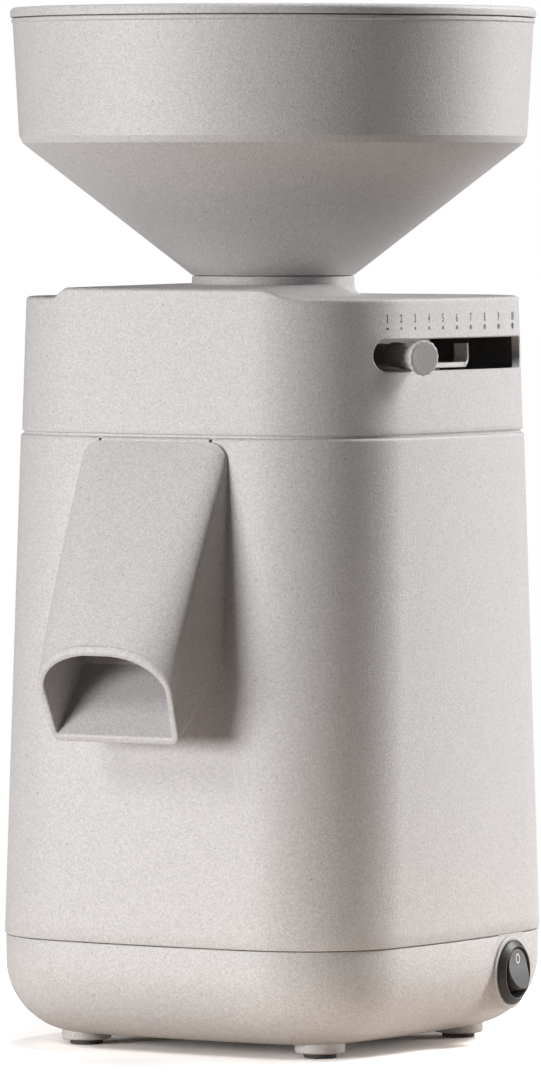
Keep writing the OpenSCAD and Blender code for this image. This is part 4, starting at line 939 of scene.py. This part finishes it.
leverFit = {"angle": -22.0, "droop": 3.0, "from": 70.6, "reach": 88.8, "wallAt": 83.0, "neckR": 4.4, "endR": 6.15,
            "clear": 0.45, "flutes": 15, "fluteDepth": 0.28, "plateLow": 235.55, "plateT": 1.8, "plateIn": 51.3,
            "plateOut": 70.4, "plateFrom": -28.0, "plateTo": 14.0, "earHalf": 4.2, "earTop": 8.6, "earFrom": 64.0,
            "earTo": 70.2, "curl": 3.4, "curlAt": 65.5, "tongueW": 5.0, "tongueT": 1.4, "tongueUp": 4.4}


def knobZ(r):
    m = leverFit
    fall = (m["wallAt"] + 1.6 - r) * math.tan(math.radians(m["droop"]))
    return slotFit["low"] + m["neckR"] + m["clear"] + fall


def buildLever(m):
    swing = Matrix.Rotation(math.radians(m["angle"]), 4, "Z")
    dip = Matrix.Rotation(math.radians(90 + m["droop"]), 4, "Y")
    about = swing @ Matrix.Translation((m["from"], 0, knobZ(m["from"]))) @ dip
    neckR, endR = m["neckR"], m["endR"]
    length = (m["reach"] - m["from"]) / math.cos(math.radians(m["droop"]))
    neck = (m["wallAt"] - m["from"]) / math.cos(math.radians(m["droop"]))
    profile = [(0.0, 0.0), (neckR - 0.5, 0.0), (neckR - 0.15, 0.3), (neckR, 2.0)]
    profile += [(neckR, z) for z in spread(3.0, neck, 4)]
    profile += [(mix(neckR, endR, t), mix(neck, length - 0.6, t)) for t in spread(0, 1, 10)[1:]]
    profile += [(endR - 0.06, length - 0.3), (endR - 0.25, length - 0.08), (endR - 0.6, length),
                (endR - 1.2, length - 0.02), (0.0, length - 0.05)]
    smooth, last = 4, len(profile) - 4   # rings without flutes at either end

    def ripple(a, j):
        if j < smooth or j > last:
            return 0.0
        fade = smoothStep((j - smooth) / 6)
        return -m["fluteDepth"] * fade * (0.5 - 0.5 * math.cos(m["flutes"] * a)) ** 1.6

    knob = Shape()
    knob.turn(profile, m["flutes"] * 12, about, loop=False, ripple=ripple)
    addPiece("leverKnob", "lever", "lever_plastic", knob, ["lever_knob"], sharp=60)
    # plate on the adjusting ring
    arm = Shape()
    low, high, e = m["plateLow"], m["plateLow"] + m["plateT"], 0.25
    edge = m["plateOut"]
    section = [(m["plateIn"], low), (edge - e, low), (edge, low + e), (edge, high - e), (edge - e, high),
               (m["plateIn"], high)]
    angles = [math.radians(a) for a in spread(m["plateFrom"], m["plateTo"], 40)]
    arm.loft([[atAzimuth(a, r, z) for r, z in section] for a in angles], capFirst=True, capLast=True)
    ear, up = m["earHalf"], low + m["earTop"]
    block = rounded([(-ear, low + 0.5, 0), (ear, low + 0.5, 0), (ear, up, 1.5), (-ear, up, 1.5)])
    ends = [[tuple(swing @ Vector((x, y, z))) for y, z in block] for x in (m["earFrom"], m["earTo"])]
    arm.loft(ends, capFirst=True, capLast=True)
    # curled tongue at the rear end
    c, t = m["curl"], m["tongueT"]
    turn = Matrix.Rotation(math.radians(m["plateTo"]), 4, "Z") @ Matrix.Translation((m["curlAt"], -0.5, high - t))
    path = [((c - t / 2) * math.sin(a), c - (c - t / 2) * math.cos(a)) for a in spread(0, math.pi / 2, 14)]
    path = [(-1.0, t / 2)] + path + [(c - t / 2 - 0.15 * k, c + m["tongueUp"] * k / 4) for k in range(1, 5)]
    section = rounded([(-t / 2, 0, 0.4), (t / 2, 0, 0.4), (t / 2, m["tongueW"], 0.4), (-t / 2, m["tongueW"], 0.4)], 3)
    rings = []
    for i, (y, z) in enumerate(path):
        before, after = path[max(0, i - 1)], path[min(len(path) - 1, i + 1)]
        d = Vector((after[0] - before[0], after[1] - before[1])).normalized()
        rings.append([tuple(turn @ Vector((across, y - d.y * side, z + d.x * side))) for side, across in section])
    arm.loft(rings, capFirst=True, capLast=True)
    addPiece("leverArm", "lever", "lever_plastic", arm, ["lever_arm"], sharp=35)


print("stage: lever")
buildLever(leverFit)


hopperFit = {"rim": 90.6, "low": 88.4, "wall": 2.4, "throat": 15.2, "nose": 17.7, "noseLow": 238.5, "spigot": 24.3,
             "spigotLow": 246.0, "seat": 267.2, "coneTop": 315.5, "rimZ": 356.2, "foot": 28.3, "coneIn": 1.2,
             "bend": 2.5, "floor": 3.2, "bead": 0.5}
lidFit = {"r": 91.5, "low": 356.6, "thick": 3.4, "edge": 1.7, "skirt": 87.1, "skirtT": 2.0, "skirtDrop": 5.5,
          "plate": 2.6}


def buildHopper(m):
    wall, rim, rimZ = m["wall"], m["rim"], m["rimZ"]
    coneR = m["low"] - m["coneIn"]
    slope = (m["coneTop"] - m["bend"] - m["seat"]) / (coneR - m["foot"])
    lift = wall * math.sqrt(1 + slope * slope)

    def cone(r):
        return m["seat"] + lift + (r - m["foot"]) * slope

    inner = m["spigot"] - wall
    profile = rounded([
        (m["throat"], m["noseLow"], 0.5), (m["nose"], m["noseLow"], 0.5), (m["nose"], cone(m["nose"]) - m["floor"], 0.6),
        (inner, cone(inner) - m["floor"], 0.6), (inner, m["spigotLow"], 0.5), (m["spigot"], m["spigotLow"], 0.8),
        (m["spigot"], m["seat"], 0.2), (m["foot"], m["seat"], 0.5), (coneR, m["coneTop"] - m["bend"], 0.8),
        (m["low"], m["coneTop"], 0.8), (rim, rimZ - 1.7, 0.1), (rim + m["bead"], rimZ - 1.3, 0.2),
        (rim + m["bead"], rimZ, 0.3), (rim - wall, rimZ, 0.5), (m["low"] - wall, m["coneTop"] + 1, 3.0),
        (coneR - wall, cone(coneR - wall), 0), (m["throat"], cone(m["throat"]), 3.0)], 5)
    shape = Shape()
    shape.turn(profile, 256)
    addPiece("hopperBowl", "hopper", "housing_plastic", shape, ["hopper"], sharp=30)


def buildLid(m):
    low, top, skirt = m["low"], m["low"] + m["thick"], m["skirt"]
    under, hem, hemR = top - m["plate"], low - m["skirtDrop"], skirt - m["skirtT"]
    shape = Shape()
    profile = rounded([(0, under, 0), (hemR, under, 0.5), (hemR, hem, 0.5), (skirt, hem, 0.5), (skirt, low, 0.2),
                       (m["r"], low, 0.3), (m["r"], top, m["edge"]), (0, top, 0)], 6)
    shape.turn(profile, 256, loop=False)
    addPiece("hopperLid", "lid", "housing_plastic", shape, ["hopper_lid"], sharp=30)


print("stage: hopper")
buildHopper(hopperFit)
buildLid(lidFit)


# the carried-over pieces take the same finishes
for row in frame["record"]["subparts"]:
    part = frame["nodes"][row["node"]]
    part.data.materials.clear()
    part.data.materials.append(finishes[row["material_slot"]])


# the room is in metres, the camera in millimetres
# pale fading to dim between the bright and dark distances is a painted pool of light on the floor, warm near the mill
roomFit = {"floor": 6.0, "pale": (0.93, 0.81, 0.71), "dim": (0.07, 0.05, 0.04), "bright": 0.10, "dark": 0.42,
           "shown": 1.9, "near": 0.16, "far": 0.5, "ambient": (0.003, 0.0025, 0.002), "mirrored": 0.05,
           "mirror": (0.6, 0.58, 0.56)}
lamps = {
    "frontLow": {"azimuth": -24.0, "distance": 1.5, "height": 0.20, "size": (0.66, 0.4), "power": 16.9},
    "frontHigh": {"azimuth": -24.0, "distance": 1.5, "height": 1.2, "size": (0.66, 0.6), "power": 9.6},
    "rearLow": {"azimuth": 142.0, "distance": 1.5, "height": 0.20, "size": (0.48, 0.4), "power": 9.0},
    "rearHigh": {"azimuth": 142.0, "distance": 1.5, "height": 1.2, "size": (0.48, 0.6), "power": 32.0},
    "overhead": {"azimuth": 180.0, "distance": 0.0001, "height": 1.6, "size": (0.5, 0.5), "power": 9.0},
}
cameraFit = {"distance": 3170.0, "azimuth": 32.5, "height": 299.5, "pitch": 2.253, "yaw": 0.017, "lens": 303.27}


def buildFloor(m):
    s = Sheet("paleFloor")
    camera = s.node("ShaderNodeLightPath", out="Is Camera Ray")
    gloss = s.node("ShaderNodeLightPath", out="Is Glossy Ray")
    spot = s.node("ShaderNodeTexCoord", out="Object")
    away = s.node("ShaderNodeVectorMath", {"operation": "LENGTH"}, {0: spot}, "Value")
    seen = s.node("ShaderNodeMath", {"operation": "MAXIMUM"}, {0: camera, 1: gloss})

    def fade(start, end):
        return s.node("ShaderNodeMapRange", {"interpolation_type": "SMOOTHSTEP"},
                      {"Value": away, "From Min": start, "From Max": end})

    # for lamp light the floor is pale near the mill and dim farther out: a painted pool of light that throws extra warm
    # bounce onto the mill
    pale = s.paint(camera, s.paint(fade(m["bright"], m["dark"]), m["pale"], m["dim"]), (m["shown"],) * 3)
    lit = s.node("ShaderNodeBsdfDiffuse", {}, {"Color": pale})
    white = s.node("ShaderNodeEmission", {}, {"Color": (1, 1, 1), "Strength": 1.0})
    s.close(s.node("ShaderNodeMixShader", {}, {0: fade(m["near"], m["far"]) * seen, 1: lit, 2: white}))
    h = m["floor"] / 2
    mesh = bpy.data.meshes.new("floor")
    mesh.from_pydata([(-h, -h, 0), (h, -h, 0), (h, h, 0), (-h, h, 0)], [], [(0, 1, 2, 3)])
    floor = bpy.data.objects.new("floor", mesh)
    bpy.context.scene.collection.objects.link(floor)
    mesh.materials.append(s.owner)


def buildWorld(m):
    s = Sheet("studio", world=True)
    camera = s.node("ShaderNodeLightPath", out="Is Camera Ray")
    gloss = s.node("ShaderNodeLightPath", out="Is Glossy Ray")
    through = s.node("ShaderNodeLightPath", out="Is Transmission Ray")
    seen = s.node("ShaderNodeMath", {"operation": "MAXIMUM"}, {0: camera, 1: through})
    tone = s.paint(seen, s.paint(gloss * m["mirrored"], m["ambient"], m["mirror"]), (1.0, 1.0, 1.0))
    s.close(s.node("ShaderNodeBackground", {}, {"Color": tone, "Strength": 1.0}))
    bpy.context.scene.world = s.owner


def buildLamps(rows):
    for name, m in rows.items():
        light = bpy.data.lights.new(name, "AREA")
        light.shape = "RECTANGLE"
        light.size, light.size_y = m["size"]
        light.energy = m["power"]
        holder = bpy.data.objects.new(name, light)
        bpy.context.scene.collection.objects.link(holder)
        a = math.radians(m["azimuth"])
        at = Vector((m["distance"] * math.sin(a), -m["distance"] * math.cos(a) + axisY * mm, m["height"]))
        holder.location = at
        aim = Vector((0, axisY * mm, 0.2))   # the middle of the mill
        holder.rotation_euler = (aim - at).to_track_quat("-Z", "Y").to_euler()


def buildCamera(m):
    data = bpy.data.cameras.new("camera")
    data.sensor_width = 36.0
    data.lens = m["lens"]
    data.clip_end = 50.0
    camera = bpy.data.objects.new("camera", data)
    bpy.context.scene.collection.objects.link(camera)
    a = math.radians(m["azimuth"])
    back = m["distance"]
    camera.location = (back * mm * math.sin(a), (-back * math.cos(a) + axisY) * mm, m["height"] * mm)
    camera.rotation_euler = (math.radians(90 - m["pitch"]), 0, a + math.radians(m["yaw"]))
    bpy.context.scene.camera = camera


print("stage: studio")
buildFloor(roomFit)
buildWorld(roomFit)
buildLamps(lamps)
buildCamera(cameraFit)
bpy.context.scene.view_settings.view_transform = "Standard"
